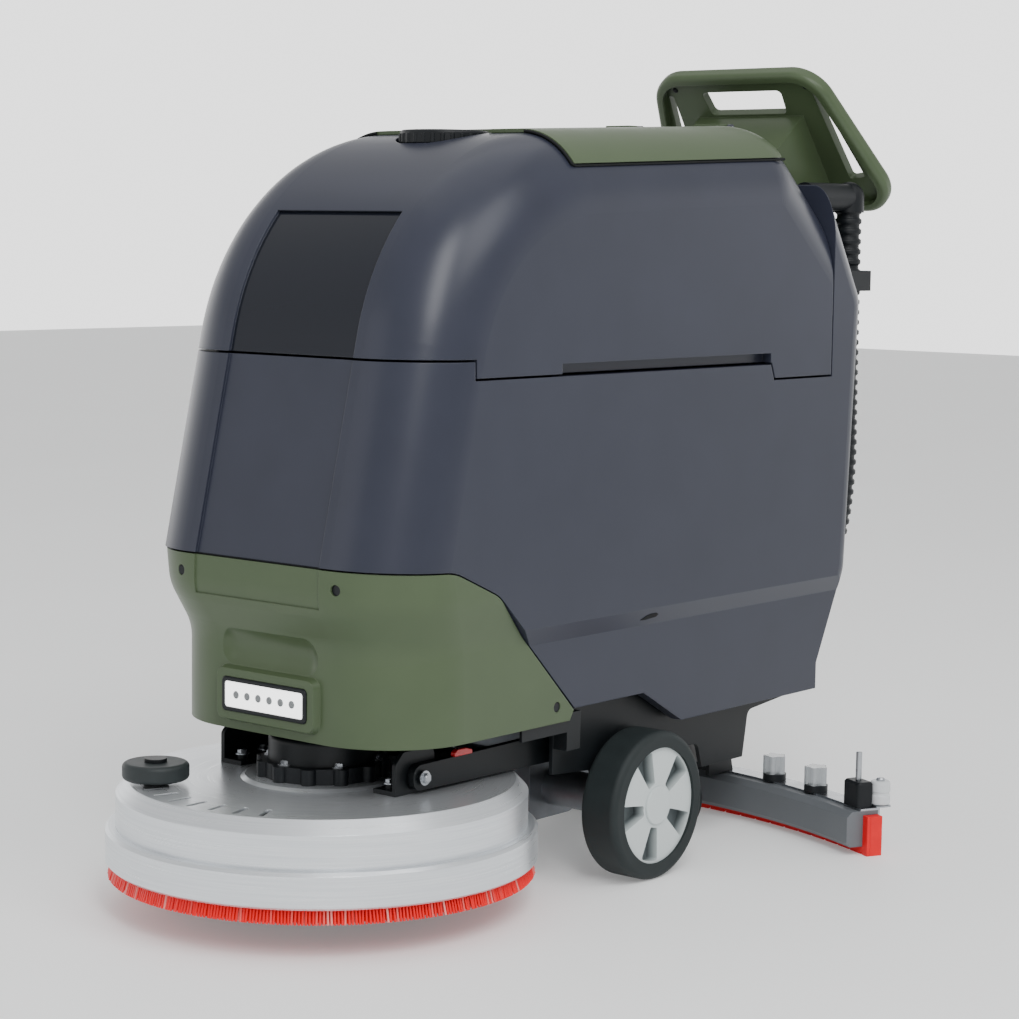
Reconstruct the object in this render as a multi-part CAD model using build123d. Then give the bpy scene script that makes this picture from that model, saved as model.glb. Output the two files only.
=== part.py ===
from build123d import *
import os
from math import cos, pi, radians, sin, sqrt, tan

# Walk-behind floor scrubber, millimetres.
# The floor is z = 0, the front of the machine faces -Y and the drive axle is above the origin.

# General fits
RUN_FIT = 0.05
SEAT_GAP = 0.3
SEAM = 3.0
WALL = 6.0

# Tank body, shared by the recovery tank and the solution tank
BODY_HALF = 225.0
SHOULDER_R = 104.0
DOME_R = 330.0
NOSE_RAKE = 13.0
SPLIT_Z = 700.0
NOSE_Y = -449.0
TOP_REAR_Y = 337.0
TOP_REAR_Z = 1006.0
TOP_RISE = 2.66
BACK_CORNER_R = 120.0
BACK_SLOPE_FOOT_Z = 922.0
TANK_BACK_Y = 435.0
STEP_Y = -358.0
GRIP_SPLIT_Z = 677.0
GRIP_END_Y = 279.0
BACK_SPLIT_Z = 655.0
PANEL_HALF = 107.0
PANEL_DEPTH = 4.0
PANEL_TOP_Z = 880.0
GRIP_FRONT_Y = -190.0
GRIP_HEIGHT = 13.0
GRIP_DEPTH = 15.0

# Solution tank and rear column
TUNNEL_HALF = 195.0
DECK_PLATE_TOP = 246.0
SKIRT_Z = 197.0
ARCH_FRONT_Y = 11.0
ARCH_BACK_Y = 99.0
TUCK = 12.0
TUCK_Z = 362.0
TUCK_RUN = 24.0
COLUMN_TOP_Z = 930.0
COLUMN_BACK_Y = 535.0
COLUMN_KNEE_Z = 770.0
COLUMN_HEEL_Y = 511.0
COLUMN_HEEL_Z = 364.0
COLUMN_TOE_Y = 429.0
COLUMN_EDGE_R = 40.0
COLUMN_BEND_R = 60.0
WELL_HALF = 172.0
WELL_FRONT_Y = -28.0
WELL_BACK_Y = 336.0
FILL_Y = -400.0
FILL_R = 32.0

# Front cover
COVER_TOP_Z = 445.0
COVER_SHOULDER_Y = -392.0
COVER_SHOULDER_Z = 446.0
COVER_BEND_Y = -307.0
COVER_BEND_Z = 409.0
COVER_TAIL_Y = -140.0
COVER_TAIL_Z = 244.0
COVER_FOOT_Z = 231.0
COVER_BAND_Z = 406.0
COVER_BAND_Y = -508.0
COVER_FACE_Z = 350.0
COVER_FACE_Y = -481.0
COVER_CORNER_R = 122.0
COVER_BEND_R = 70.0
COVER_WALL = 4.0
COVER_SEAM = 2.0
SCREW_R = 6.5
SCREW_SINK = 3.0
SCREW_HEAD = 1.8
BAND_SCREW_X = 133.0
BAND_SCREW_Z = 428.0
SIDE_SCREW_Y = -175.0
SIDE_SCREW_Z = 252.0
SCOOP_HALF = 62.0
SCOOP_R = 34.0
SCOOP_OUT = 27.0
SCOOP_Z = 334.0
BRACKET_SHEET = 4.0
BRACKET_REACH = 100.0
BRACKET_LONG = 30.0
BRACKET_TALL = 56.0
BRACKET_RIB = 25.0
BRACKET_LIP = 22.0
LIGHT_WIDTH = 146.0
LIGHT_HEIGHT = 43.0
LIGHT_DEPTH = 12.0
LIGHT_Z = 277.0
LIGHT_EDGE = 5.0
LIGHT_CORNER_R = 6.0
PAD_EDGE = 14.0
PAD_DEPTH = 9.5
PAD_DRAFT = 20.0
LENS_DEPTH = 8.0
LENS_SINK = 1.5
LED_COUNT = 6

# Recovery tank lid and cap
LID_THICK = 5.0
LID_FRONT_Y = -152.0
LID_BACK_Y = 331.0
LID_DROP = 40.0
LID_HINGE_R = 6.0
LID_EAR = 6.0
LID_EAR_X = 52.0
LID_KNUCKLE = 50.0
MOUTH_HALF = 110.0
MOUTH_FRONT_Y = -20.0
MOUTH_BACK_Y = 270.0
CAP_Y = -162.0
CAP_R = 60.0
CAP_HEIGHT = 18.0
CAP_RIBS = 28
CAP_SINK = 14.0
CAP_GAP = 4.0
CAP_NOTCH = 8.0
NECK_R = 46.0
NECK_TALL = 9.0
CAP_LIFT = 1.0

# Tank tilt hinge on the right side
TILT_X = -233.0
TILT_Z = 650.0
TILT_KNUCKLE_R = 6.0
TILT_KNUCKLE_LONG = 24.0
TILT_STATIONS = (-100.0, 200.0)

# Chassis
FRAME_HALF = 187.0
FRAME_SHEET = 6.0
FRAME_FRONT_Y = -150.0
FRAME_BACK_Y = 405.0
RAIL_FOOT_Z = 150.0
CASTER_PLATE_Z = 114.0

# Drive wheels
WHEEL_R = 100.0
WHEEL_OUT_X = 251.0
TYRE_WIDTH = 58.0
HUB_R = 78.0
HUB_DISC_R = 30.0
SPOKES = 5
SPOKE_TURN = -12.0
SPOKE_GAP = 27.0
AXLE_R = 12.0

# Casters
CASTER_X = 100.0
CASTER_Y = 237.0
CASTER_R = 37.5
CASTER_WIDTH = 26.0
CASTER_TRAIL = 25.0
CASTER_PIN_R = 5.0
KINGPIN_R = 8.0

# Brush deck, drawn raised for transport
DECK_Y = -384.0
DECK_R = 262.0
RIM_R = 275.0
RIM_FOOT_Z = 62.0
RIM_TOP_Z = 107.0
DECK_WALL_TOP = 149.0
DECK_TOP = 165.0
DECK_SHEET = 4.0
DECK_CROWN_R = 246.0
BRISTLE_TIP_Z = 44.0
BRUSH_R = 250.0
BRUSH_FOOT_Z = 70.0
BRUSH_TOP_Z = 90.0
BRISTLE_SIZE = 5.0
BRISTLE_RINGS = ((243.0, 150, 27.0), (222.0, 130, 8.0), (200.0, 110, 0.0))
SHAFT_R = 12.0
RING_R = 85.0
RING_HEIGHT = 20.0
RING_LOBES = 12
MOTOR_R = 60.0
MOTOR_TOP = 330.0

# Deck lift linkage
YOKE_X = 150.0
YOKE_SHEET = 6.0
YOKE_HALF = 36.0
YOKE_TALL = 54.0
ARM_X = 160.0
ARM_SHEET = 10.0
ARM_TALL = 40.0
ARM_FRONT_Y = -380.0
ARM_BACK_Y = -40.0
ARM_Z = 186.0
ARM_PIN_R = 8.0
TIE_Y = -262.0
TIE_R = 12.0
ROD_R = 6.0
ROD_TOP = 246.0
ACTUATOR_R = 22.0
ACTUATOR_TOP = 312.0
GUSSET_HALF = 10.0

# Wall guide roller on the right of the deck
ROLLER_R = 42.0
ROLLER_TALL = 22.0
ROLLER_REACH = 214.0
ROLLER_TURN = 236.6
ROLLER_PIN_R = 8.0

# Squeegee, an arc about an upright axis in front of it
SQUEEGEE_Y = -461.0
SQUEEGEE_HALF_ANGLE = 26.6
BODY_IN_R = 827.0
FRONT_BLADE_R = 853.0
REAR_BLADE_R = 872.0
BLADE_THICK = 5.0
BLADE_OVERHANG = 0.8
SQUEEGEE_FOOT_Z = 12.0
SQUEEGEE_TOP_Z = 62.0
SQUEEGEE_LIP = 6.0
STRAP_SHEET = 3.0
STRAP_DROP = 28.0
STRAP_SETBACK = 22.0
KNOB_ANGLES = (-18.3, -12.3, 12.3, 18.3)
KNOB_R = 17.0
KNOB_TALL = 36.0
KNOB_STEM_R = 11.0
KNOB_LOBES = 5
KNOB_LOBE_R = 5.0
SOCKET_TALL = 10.0
CLAMP_LONG = 40.0
CLAMP_DEEP = 26.0
CLAMP_TALL = 36.0
CLAMP_SETBACK = 1.6
CLAMP_PIN_R = 4.0
CLAMP_PIN_TALL = 76.0
PORT_R = 18.0
PORT_TOP_Z = 112.0
TOW_Y = 215.0
TOW_Z = 165.0
TOW_HALF = 22.0
TOW_SHEET = 6.0
TOW_PIN_R = 8.0
TOW_SIDE_X = 100.0

# Handle and console
HANDLE_TOP_Y = 494.0
HANDLE_TOP_Z = 1100.0
HANDLE_FALL = 51.7
HANDLE_LONG = 255.8
HANDLE_TOP_WIDE = 290.0
HANDLE_FOOT_WIDE = 424.0
HANDLE_THICK = 26.0
HANDLE_TOP_R = 60.0
HANDLE_FOOT_R = 48.0
HANDLE_RIM = 15.0
HANDLE_ROUND = 9.0
WEB_THICK = 14.0
SLIT_FRONT = 42.0
SLIT_BACK = 200.0
SLIT_IN = 126.0
SLIT_OUT = 163.0
CONSOLE_HALF = 95.0
CONSOLE_HEEL = 65.0
CONSOLE_FOOT_Z = 856.0
CONSOLE_SEAT_Z = 846.0
WINDOW_HALF = 72.0
WINDOW_FRONT = 36.0
WINDOW_BACK = 78.0
PADDLE_HALF = 64.0
PADDLE_DOWN = 26.0
PADDLE_OUT = 22.0
PADDLE_BAR = 11.0
PADDLE_FLAP = 17.0
PADDLE_SHEET = 4.0
PADDLE_PIN_R = 3.0
PADDLE_EAR = 8.0
WELL_DEEP = 8.0
PANEL_FRONT = 92.0
PANEL_BACK = 214.0
PANEL_WIDE = 150.0
PANEL_THICK = 4.0
STOP_R = 16.0
DIAL_R = 19.0
BUTTON_R = 9.0
BUTTON_TRAVEL = 3.0

# Batteries, drive unit and vacuum motor
BATTERY_LONG = 330.0
BATTERY_WIDE = 172.0
BATTERY_TALL = 220.0
BATTERY_SKIN = 4.0
PLATES_TALL = 80.0
BATTERY_STATIONS = (62.0, 246.0)
VACUUM_Y = 400.0
VACUUM_R = 48.0

# Suction hose
HOSE_R = 20.0
HOSE_BORE_R = 15.0
HOSE_RIB_PITCH = 15.0
CLIP_Z = 791.0
CLIP_TALL = 30.0
HOSE_POINTS = (
    (0.0, 391.0, 113.0),
    (0.0, 391.0, 160.0),
    (12.0, 432.0, 205.0),
    (55.0, 505.0, 240.0),
    (108.0, 560.0, 305.0),
    (146.0, 580.0, 395.0),
    (163.0, 575.0, 500.0),
    (166.0, 567.0, 610.0),
    (164.0, 569.0, 730.0),
    (165.0, 566.0, 832.0),
    (165.0, 566.0, 892.0),
)


def outline(corners):
    """Flat face through the corners; a third number on a corner rounds it."""
    face = make_face(Polyline(*[corner[:2] for corner in corners], close=True))
    for corner in corners:
        if len(corner) > 2:
            point = face.vertices().sort_by_distance((corner[0], corner[1], 0))[0]
            face = fillet(point, corner[2])
    return face


def side_prism(face, half_width):
    """Side outline, given as (y, z), drawn out both ways across the machine."""
    return extrude(Plane.YZ * face, half_width, both=True)


def block(x, y, z):
    """Box between pairs of limits along each axis."""
    size = (x[1] - x[0], y[1] - y[0], z[1] - z[0])
    centre = ((x[0] + x[1]) / 2, (y[0] + y[1]) / 2, (z[0] + z[1]) / 2)
    return Pos(*centre) * Box(*size)


def post(x, y, z, radius):
    """Upright cylinder between two heights."""
    return Pos(x, y, (z[0] + z[1]) / 2) * Cylinder(radius, z[1] - z[0])


def cross_pin(x, y, z, radius):
    """Cylinder along X between two stations."""
    return Pos((x[0] + x[1]) / 2, y, z) * Rot(0, 90, 0) * Cylinder(radius, x[1] - x[0])


def long_pin(x, y, z, radius):
    """Cylinder along Y between two stations."""
    return Pos(x, (y[0] + y[1]) / 2, z) * Rot(90, 0, 0) * Cylinder(radius, y[1] - y[0])


def both_sides(shape):
    """The shape and its mirror image across the machine's middle plane."""
    return shape + mirror(shape, about=Plane.YZ)


def save(name, shape):
    """Write one node's STEP file."""
    export_step(shape, os.path.join("parts", name + ".step"))


# Tank body
def nose_y(z):
    """Station of the raked front face at a height."""
    return NOSE_Y + (z - SPLIT_Z) * tan(radians(NOSE_RAKE))


def top_z(y):
    """Height of the gently rising top at a station."""
    return TOP_REAR_Z + (y - TOP_REAR_Y) * tan(radians(TOP_RISE))


def body_outline():
    """Side outline of both tanks with the domed nose."""
    rake = tan(radians(NOSE_RAKE))
    rise = tan(radians(TOP_RISE))
    peak_y = (NOSE_Y + (top_z(NOSE_Y) - SPLIT_Z) * rake) / (1 - rise * rake)
    peak_y -= NOSE_Y * rise * rake / (1 - rise * rake)
    return outline([
        (nose_y(SKIRT_Z), SKIRT_Z),
        (peak_y, top_z(peak_y), DOME_R),
        (TOP_REAR_Y, TOP_REAR_Z, BACK_CORNER_R),
        (TANK_BACK_Y, BACK_SLOPE_FOOT_Z),
        (TANK_BACK_Y, SKIRT_Z),
    ])


def tank_body(inset):
    """Rounded tank form, moved inwards by the inset."""
    face = body_outline()
    if inset:
        face = offset(face, -inset, kind=Kind.INTERSECTION)
    half = BODY_HALF - inset
    form = side_prism(face, half)
    foot = SKIRT_Z + inset
    back = TANK_BACK_Y - inset
    rails = [
        edge for edge in form.edges()
        if abs(abs(edge.center().X) - half) < 0.01
        and edge.center().Z > foot + 1
        and edge.center().Y < back - 1
    ]
    return fillet(rails, SHOULDER_R - inset)


def split_line(lift):
    """Corners of the stepped parting line, raised by the lift."""
    return [
        (nose_y(SKIRT_Z) - 50, SPLIT_Z + lift),
        (STEP_Y + lift, SPLIT_Z + lift),
        (STEP_Y + lift, GRIP_SPLIT_Z + lift),
        (GRIP_END_Y + lift, GRIP_SPLIT_Z + lift),
        (GRIP_END_Y + 9 + lift, BACK_SPLIT_Z + lift),
    ]


def nose_panel(body):
    """Sunk centre panel on the nose: what lies outside the body inset by its depth."""
    front = block((-PANEL_HALF, PANEL_HALF), (nose_y(SKIRT_Z) - 50, 0), (COVER_TOP_Z - 30, PANEL_TOP_Z))
    return front - body


def recovery_region(lift):
    """Space above the parting line."""
    high = TOP_REAR_Z + 100
    line = split_line(SEAM + lift)
    return side_prism(outline(line + [
        (TANK_BACK_Y - lift, BACK_SPLIT_Z + SEAM + lift),
        (TANK_BACK_Y - lift, high),
        (line[0][0], high),
    ]), BODY_HALF + 20)


def solution_region():
    """Space below the parting line, above the front cover and the wheel arch."""
    return side_prism(outline(split_line(0) + [
        (TANK_BACK_Y, BACK_SPLIT_Z),
        (TANK_BACK_Y, SKIRT_Z),
        (ARCH_BACK_Y, SKIRT_Z),
        (ARCH_FRONT_Y, DECK_PLATE_TOP),
        (COVER_TAIL_Y + COVER_SEAM, DECK_PLATE_TOP),
        (COVER_BEND_Y, COVER_BEND_Z + COVER_SEAM, 60),
        (COVER_SHOULDER_Y, COVER_SHOULDER_Z + COVER_SEAM, 80),
        (nose_y(COVER_TOP_Z) - 50, COVER_TOP_Z + COVER_SEAM + 8),
    ]), BODY_HALF + 20)


def column_outline():
    """Side outline of the rear column and the tank's tail."""
    return outline([
        (WELL_BACK_Y, SKIRT_Z),
        (WELL_BACK_Y, BACK_SPLIT_Z),
        (TANK_BACK_Y + SEAM, BACK_SPLIT_Z),
        (TANK_BACK_Y + SEAM, COLUMN_TOP_Z),
        (COLUMN_BACK_Y, COLUMN_KNEE_Z, COLUMN_BEND_R),
        (COLUMN_HEEL_Y, COLUMN_HEEL_Z, COLUMN_BEND_R),
        (COLUMN_TOE_Y, SKIRT_Z),
    ])


def column():
    """Rear column with rounded upright edges."""
    form = side_prism(column_outline(), BODY_HALF)
    rails = [
        edge for edge in form.edges()
        if abs(abs(edge.center().X) - BODY_HALF) < 0.01
        and edge.center().Y > TANK_BACK_Y + SEAM + 1
        and edge.center().Z > SKIRT_Z + 1
    ]
    return fillet(rails, COLUMN_EDGE_R)


def tuck_limit():
    """Front view of the lower body, whose sides step in below the crease."""
    half = BODY_HALF + 20
    face = make_face(Polyline(
        (-half, SPLIT_Z + 400), (-half, TUCK_Z + 20 * TUCK_RUN / TUCK), (-BODY_HALF, TUCK_Z),
        (TUCK - BODY_HALF, TUCK_Z - TUCK_RUN), (TUCK - BODY_HALF, 0),
        (BODY_HALF - TUCK, 0), (BODY_HALF - TUCK, TUCK_Z - TUCK_RUN),
        (BODY_HALF, TUCK_Z), (half, TUCK_Z + 20 * TUCK_RUN / TUCK), (half, SPLIT_Z + 400), close=True))
    return extrude(Plane.XZ * face, 800, both=True)


def tilt_knuckle(station, turns):
    """Hinge barrel beside the tank; turns counts barrel lengths along the pin."""
    start = station + turns * TILT_KNUCKLE_LONG
    return long_pin(TILT_X, (start + 0.2, start + TILT_KNUCKLE_LONG - 0.2), TILT_Z, TILT_KNUCKLE_R)


def solution_tank():
    """Lower moulding: water space, battery well, rear column and hinge ears."""
    tank = tank_body(0) & solution_region()
    tank += column()
    tank &= tuck_limit()
    tank -= nose_panel(tank_body(PANEL_DEPTH))
    tank -= block((-TUNNEL_HALF, TUNNEL_HALF), (-600, 600), (0, DECK_PLATE_TOP))
    floor = DECK_PLATE_TOP + WALL
    tank -= block((-WELL_HALF, WELL_HALF), (WELL_FRONT_Y, WELL_BACK_Y), (floor, SPLIT_Z + 50))
    water = side_prism(outline([
        (nose_y(SKIRT_Z) - 50, COVER_TOP_Z + 20),
        (COVER_SHOULDER_Y, COVER_SHOULDER_Z + 12),
        (COVER_BEND_Y, COVER_BEND_Z + 10),
        (COVER_TAIL_Y + 8, floor),
        (WELL_FRONT_Y - WALL, floor),
        (WELL_FRONT_Y - WALL, GRIP_SPLIT_Z - WALL),
        (STEP_Y + WALL, GRIP_SPLIT_Z - WALL),
        (STEP_Y + WALL, SPLIT_Z - WALL),
        (nose_y(SKIRT_Z) - 50, SPLIT_Z - WALL),
    ]), BODY_HALF)
    inside = tank_body(WALL + PANEL_DEPTH)
    tank -= water & inside & block((TUCK + WALL - BODY_HALF, BODY_HALF - TUCK - WALL), (-600, 600), (0, 800))
    side_space = block((WELL_HALF + WALL, BODY_HALF - TUCK - WALL), (WELL_FRONT_Y - 2 * WALL, WELL_BACK_Y),
                       (floor, GRIP_SPLIT_Z - WALL))
    tank -= both_sides(side_space)
    tank -= post(0, FILL_Y, (SPLIT_Z - WALL - 1, SPLIT_Z + 1), FILL_R)
    shaft = offset(column_outline(), -WALL, kind=Kind.INTERSECTION)
    inner_half = BODY_HALF - TUCK - WALL - COLUMN_EDGE_R / 2
    tank -= side_prism(shaft, inner_half) & block((-300, 300), (WELL_BACK_Y, 600), (floor, 1000))
    tank -= block((-40, 40), (TANK_BACK_Y + 15, COLUMN_BACK_Y), (852, 892))
    for station in TILT_STATIONS:
        for turns in (0, 2):
            start = station + turns * TILT_KNUCKLE_LONG
            ear = tilt_knuckle(station, turns)
            ear += block((TILT_X, -BODY_HALF), (start + 0.2, start + TILT_KNUCKLE_LONG - 0.2),
                         (TILT_Z - TILT_KNUCKLE_R, TILT_Z))
            ear -= long_pin(TILT_X, (start, start + TILT_KNUCKLE_LONG), TILT_Z, 3 + RUN_FIT)
            tank += ear
    return tank


def recovery_tank():
    """Upper tank: hollow dome with lid mouth, filler neck, grip slots and hinge leaves."""
    body = tank_body(0)
    tank = body & recovery_region(0)
    tank -= nose_panel(tank_body(PANEL_DEPTH))
    tank -= tank_body(WALL + PANEL_DEPTH) & recovery_region(WALL)
    tank -= block((-MOUTH_HALF, MOUTH_HALF), (MOUTH_FRONT_Y, MOUTH_BACK_Y), (900, 1100))
    grip = block((BODY_HALF - GRIP_DEPTH, BODY_HALF + 5), (GRIP_FRONT_Y, GRIP_END_Y),
                 (GRIP_SPLIT_Z, GRIP_SPLIT_Z + SEAM + GRIP_HEIGHT))
    channel = block((BODY_HALF - GRIP_DEPTH - WALL, BODY_HALF - 1),
                    (GRIP_FRONT_Y - WALL, GRIP_END_Y + WALL),
                    (GRIP_SPLIT_Z + SEAM, GRIP_SPLIT_Z + SEAM + GRIP_HEIGHT + WALL))
    tank += both_sides(channel)
    tank -= both_sides(grip)
    seat = cap_seat()
    tank += post(0, CAP_Y, (seat - WALL, TOP_REAR_Z), CAP_R + CAP_GAP + WALL) & body
    tank -= post(0, CAP_Y, (seat, TOP_REAR_Z), CAP_R + CAP_GAP)
    tank += post(0, CAP_Y, (seat - WALL, seat + NECK_TALL), NECK_R)
    tank -= post(0, CAP_Y, (seat - 2 * WALL, seat + NECK_TALL + 1), NECK_R - WALL)
    for station in TILT_STATIONS:
        start = station + TILT_KNUCKLE_LONG
        long = (start + 0.2, start + TILT_KNUCKLE_LONG - 0.2)
        leaf = tilt_knuckle(station, 1)
        leaf += block((TILT_X - 3, TILT_X + 3), long, (TILT_Z, GRIP_SPLIT_Z + 50))
        leaf += block((TILT_X, 1 - BODY_HALF), long, (GRIP_SPLIT_Z + 30, GRIP_SPLIT_Z + 50))
        leaf -= long_pin(TILT_X, (start, start + TILT_KNUCKLE_LONG), TILT_Z, 3 + RUN_FIT)
        tank += leaf
    hinge_y, hinge_z = lid_hinge()
    for inner in (LID_EAR_X, LID_EAR_X + LID_KNUCKLE):
        across = (inner, inner + LID_EAR)
        ear = block(across, (hinge_y - 5, hinge_y + 5), (hinge_z - 22, hinge_z))
        ear += cross_pin(across, hinge_y, hinge_z, LID_HINGE_R)
        tank += both_sides(ear - cross_pin(across, hinge_y, hinge_z, 3 + RUN_FIT))
    return tank


def tilt_pins():
    """Steel pins of the two tank hinges."""
    pins = [
        long_pin(TILT_X, (station - 2, station + 3 * TILT_KNUCKLE_LONG + 2), TILT_Z, 3)
        for station in TILT_STATIONS
    ]
    return pins[0] + pins[1]


def lid_hinge():
    """Axis of the lid hinge as (y, z)."""
    return LID_BACK_Y + LID_HINGE_R + 3, top_z(LID_BACK_Y) + 2


def cap_seat():
    """Height of the recess floor under the filler cap."""
    return top_z(CAP_Y) - CAP_SINK


def tank_lid():
    """Saddle lid: a skin over the tank top, notched round the cap, with hinge barrels."""
    skin = tank_body(-SEAT_GAP - LID_THICK) - tank_body(-SEAT_GAP)
    fall = top_z(LID_FRONT_Y) - LID_DROP
    rise = top_z(LID_BACK_Y) - LID_DROP
    lid = skin & side_prism(outline([
        (LID_FRONT_Y, fall),
        (LID_FRONT_Y, TOP_REAR_Z + 50),
        (LID_BACK_Y, TOP_REAR_Z + 50),
        (LID_BACK_Y, rise, 12),
    ]), BODY_HALF + 20)
    lid -= post(0, CAP_Y, (cap_seat(), TOP_REAR_Z + 50), CAP_R + CAP_NOTCH)
    hinge_y, hinge_z = lid_hinge()
    across = (LID_EAR_X + LID_EAR + SEAT_GAP, LID_EAR_X + LID_KNUCKLE - SEAT_GAP)
    barrel = cross_pin(across, hinge_y, hinge_z, LID_HINGE_R)
    barrel += block(across, (LID_BACK_Y - 14, hinge_y), (hinge_z - 10, hinge_z + LID_HINGE_R))
    barrel -= tank_body(-SEAT_GAP)
    lid += both_sides(barrel)
    bore = cross_pin((LID_EAR_X, LID_EAR_X + LID_KNUCKLE + LID_EAR), hinge_y, hinge_z, 3 + RUN_FIT)
    return lid - both_sides(bore)


def lid_pins():
    """Pins of the lid hinge, held in the tank's ears."""
    hinge_y, hinge_z = lid_hinge()
    return both_sides(cross_pin((LID_EAR_X - 1, LID_EAR_X + LID_KNUCKLE + LID_EAR + 1), hinge_y, hinge_z, 3))


def tank_cap():
    """Screw cap with grip ribs round its edge."""
    seat = cap_seat()
    top = seat + CAP_HEIGHT
    foot = seat + CAP_LIFT
    cap = post(0, CAP_Y, (foot, top), CAP_R - 2)
    cap = fillet(cap.edges().group_by(Axis.Z)[-1], 4)
    for turn in range(CAP_RIBS):
        angle = 2 * pi * turn / CAP_RIBS
        cap += post((CAP_R - 3) * cos(angle), CAP_Y + (CAP_R - 3) * sin(angle), (foot, top - 5), 3)
    cap -= post(0, CAP_Y, (seat, seat + NECK_TALL + SEAT_GAP), NECK_R + SEAT_GAP)
    return cap


def float_cage():
    """Float shut-off basket hanging from the tank roof behind the mouth."""
    y = MOUTH_BACK_Y + 34
    roof = top_z(y) - WALL - PANEL_DEPTH
    cage = post(0, y, (roof - 120, roof + 10), 24) & tank_body(WALL + PANEL_DEPTH)
    cage -= post(0, y, (roof - 116, roof - 10), 20)
    for turn in range(4):
        cage -= Pos(0, y, roof - 62) * Rot(0, 0, 45 * turn) * Box(60, 14, 84)
    return cage


# Front cover and light
def cover_section(z, front, half, radius, inset):
    """Level section of the cover, open towards the rear."""
    return Pos(0, 0, z) * outline([
        (-half + inset, front + inset, radius - inset),
        (half - inset, front + inset, radius - inset),
        (half - inset, 0),
        (-half + inset, 0),
    ])


def cover_form(inset):
    """Cover form lofted through its band, step and lower face."""
    low = BODY_HALF - TUCK
    stations = (
        (COVER_TOP_Z + 30, nose_y(COVER_TOP_Z) + 2, BODY_HALF, SHOULDER_R),
        (COVER_BAND_Z, COVER_BAND_Y, BODY_HALF, COVER_CORNER_R),
        (COVER_FACE_Z, COVER_FACE_Y, low, COVER_CORNER_R),
        (COVER_FOOT_Z - 20, COVER_FACE_Y, low, COVER_CORNER_R),
    )
    form = loft([cover_section(*station, inset) for station in stations], ruled=True)
    for height, radius in ((COVER_BAND_Z, COVER_BEND_R - inset), (COVER_FACE_Z, COVER_BEND_R + inset)):
        crease = [
            edge for edge in form.edges()
            if abs(edge.center().Z - height) < 0.01 and edge.center().Y < -1
        ]
        form = fillet(crease, radius)
    return form


def cover_region():
    """Side view of the cover below its seam."""
    return side_prism(outline([
        (COVER_BAND_Y - 60, COVER_TOP_Z + 8),
        (COVER_SHOULDER_Y, COVER_SHOULDER_Z, 80),
        (COVER_BEND_Y, COVER_BEND_Z, 60),
        (COVER_TAIL_Y, COVER_TAIL_Z),
        (COVER_TAIL_Y - 8, COVER_FOOT_Z),
        (COVER_BAND_Y - 60, COVER_FOOT_Z),
    ]), BODY_HALF + 20)


def scoop(radius):
    """Round-ended hollow above the light."""
    y = COVER_FACE_Y - SCOOP_OUT
    form = cross_pin((-SCOOP_HALF, SCOOP_HALF), y, SCOOP_Z, radius)
    for x in (-SCOOP_HALF, SCOOP_HALF):
        form += Pos(x, y, SCOOP_Z) * Sphere(radius)
    return form


def light_pad():
    """Raised pad with drafted sides round the light, open for its housing."""
    face = Plane(origin=(0, COVER_FACE_Y, LIGHT_Z), x_dir=(1, 0, 0), z_dir=(0, -1, 0))
    edge = 2 * PAD_EDGE
    base = RectangleRounded(LIGHT_WIDTH + edge, LIGHT_HEIGHT + edge, PAD_EDGE)
    slack = 2 * SEAT_GAP
    hole = RectangleRounded(LIGHT_WIDTH + slack, LIGHT_HEIGHT + slack, LIGHT_CORNER_R + SEAT_GAP)
    return extrude(face * base, PAD_DEPTH, taper=PAD_DRAFT) - extrude(face * hole, 2 * PAD_DEPTH)


def band_screw_floor():
    """Station of the recess floor of the band screws, which lie where the corner begins to turn."""
    past_flat = BAND_SCREW_X - BODY_HALF + COVER_CORNER_R
    return COVER_BAND_Y + COVER_CORNER_R - sqrt(COVER_CORNER_R ** 2 - past_flat ** 2) + SCREW_SINK


def band_screw(tall, radius):
    """Left band screw or its recess, standing on the recess floor."""
    floor = band_screw_floor()
    return long_pin(BAND_SCREW_X, (floor - tall, floor), BAND_SCREW_Z, radius)


def side_screw(tall, radius):
    """Left side screw or its recess, standing on the recess floor."""
    floor = BODY_HALF - TUCK - SCREW_SINK
    return cross_pin((floor, floor + tall), SIDE_SCREW_Y, SIDE_SCREW_Z, radius)


def front_cover():
    """Green front shell with its stepped face, sunk panel, scoop, light pad and screw recesses."""
    region = cover_region()
    shell = (cover_form(0) - cover_form(COVER_WALL)) & region
    slot = block((-PANEL_HALF, PANEL_HALF), (COVER_BAND_Y - 60, 0), (COVER_BAND_Z - 4, COVER_TOP_Z + 20))
    shell -= slot - cover_form(COVER_WALL / 2)
    shell += scoop(SCOOP_R + COVER_WALL) & cover_form(0) & region
    shell -= scoop(SCOOP_R)
    shell += light_pad()
    recess = (3 * SCREW_SINK, SCREW_R + SEAT_GAP)
    return shell - both_sides(band_screw(*recess)) - both_sides(side_screw(*recess))


def cover_brackets():
    """Folded steel brackets that carry the cover from the frame's front corners."""
    half = BODY_HALF - TUCK - COVER_WALL - SEAT_GAP
    inner = half - BRACKET_SHEET
    front = COVER_TAIL_Y - BRACKET_REACH
    back = FRAME_FRONT_Y + BRACKET_LONG
    foot = DECK_PLATE_TOP - BRACKET_TALL
    top = DECK_PLATE_TOP - FRAME_SHEET
    plate = block((FRAME_HALF, half), (FRAME_FRONT_Y + 2, back), (foot, top))
    wing = block((inner, half), (front, back), (top - BRACKET_RIB, top))
    wing += block((inner, half), (front, COVER_TAIL_Y - BRACKET_RIB), (top - BRACKET_RIB, top + BRACKET_LIP))
    return both_sides(plate + wing)


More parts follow.
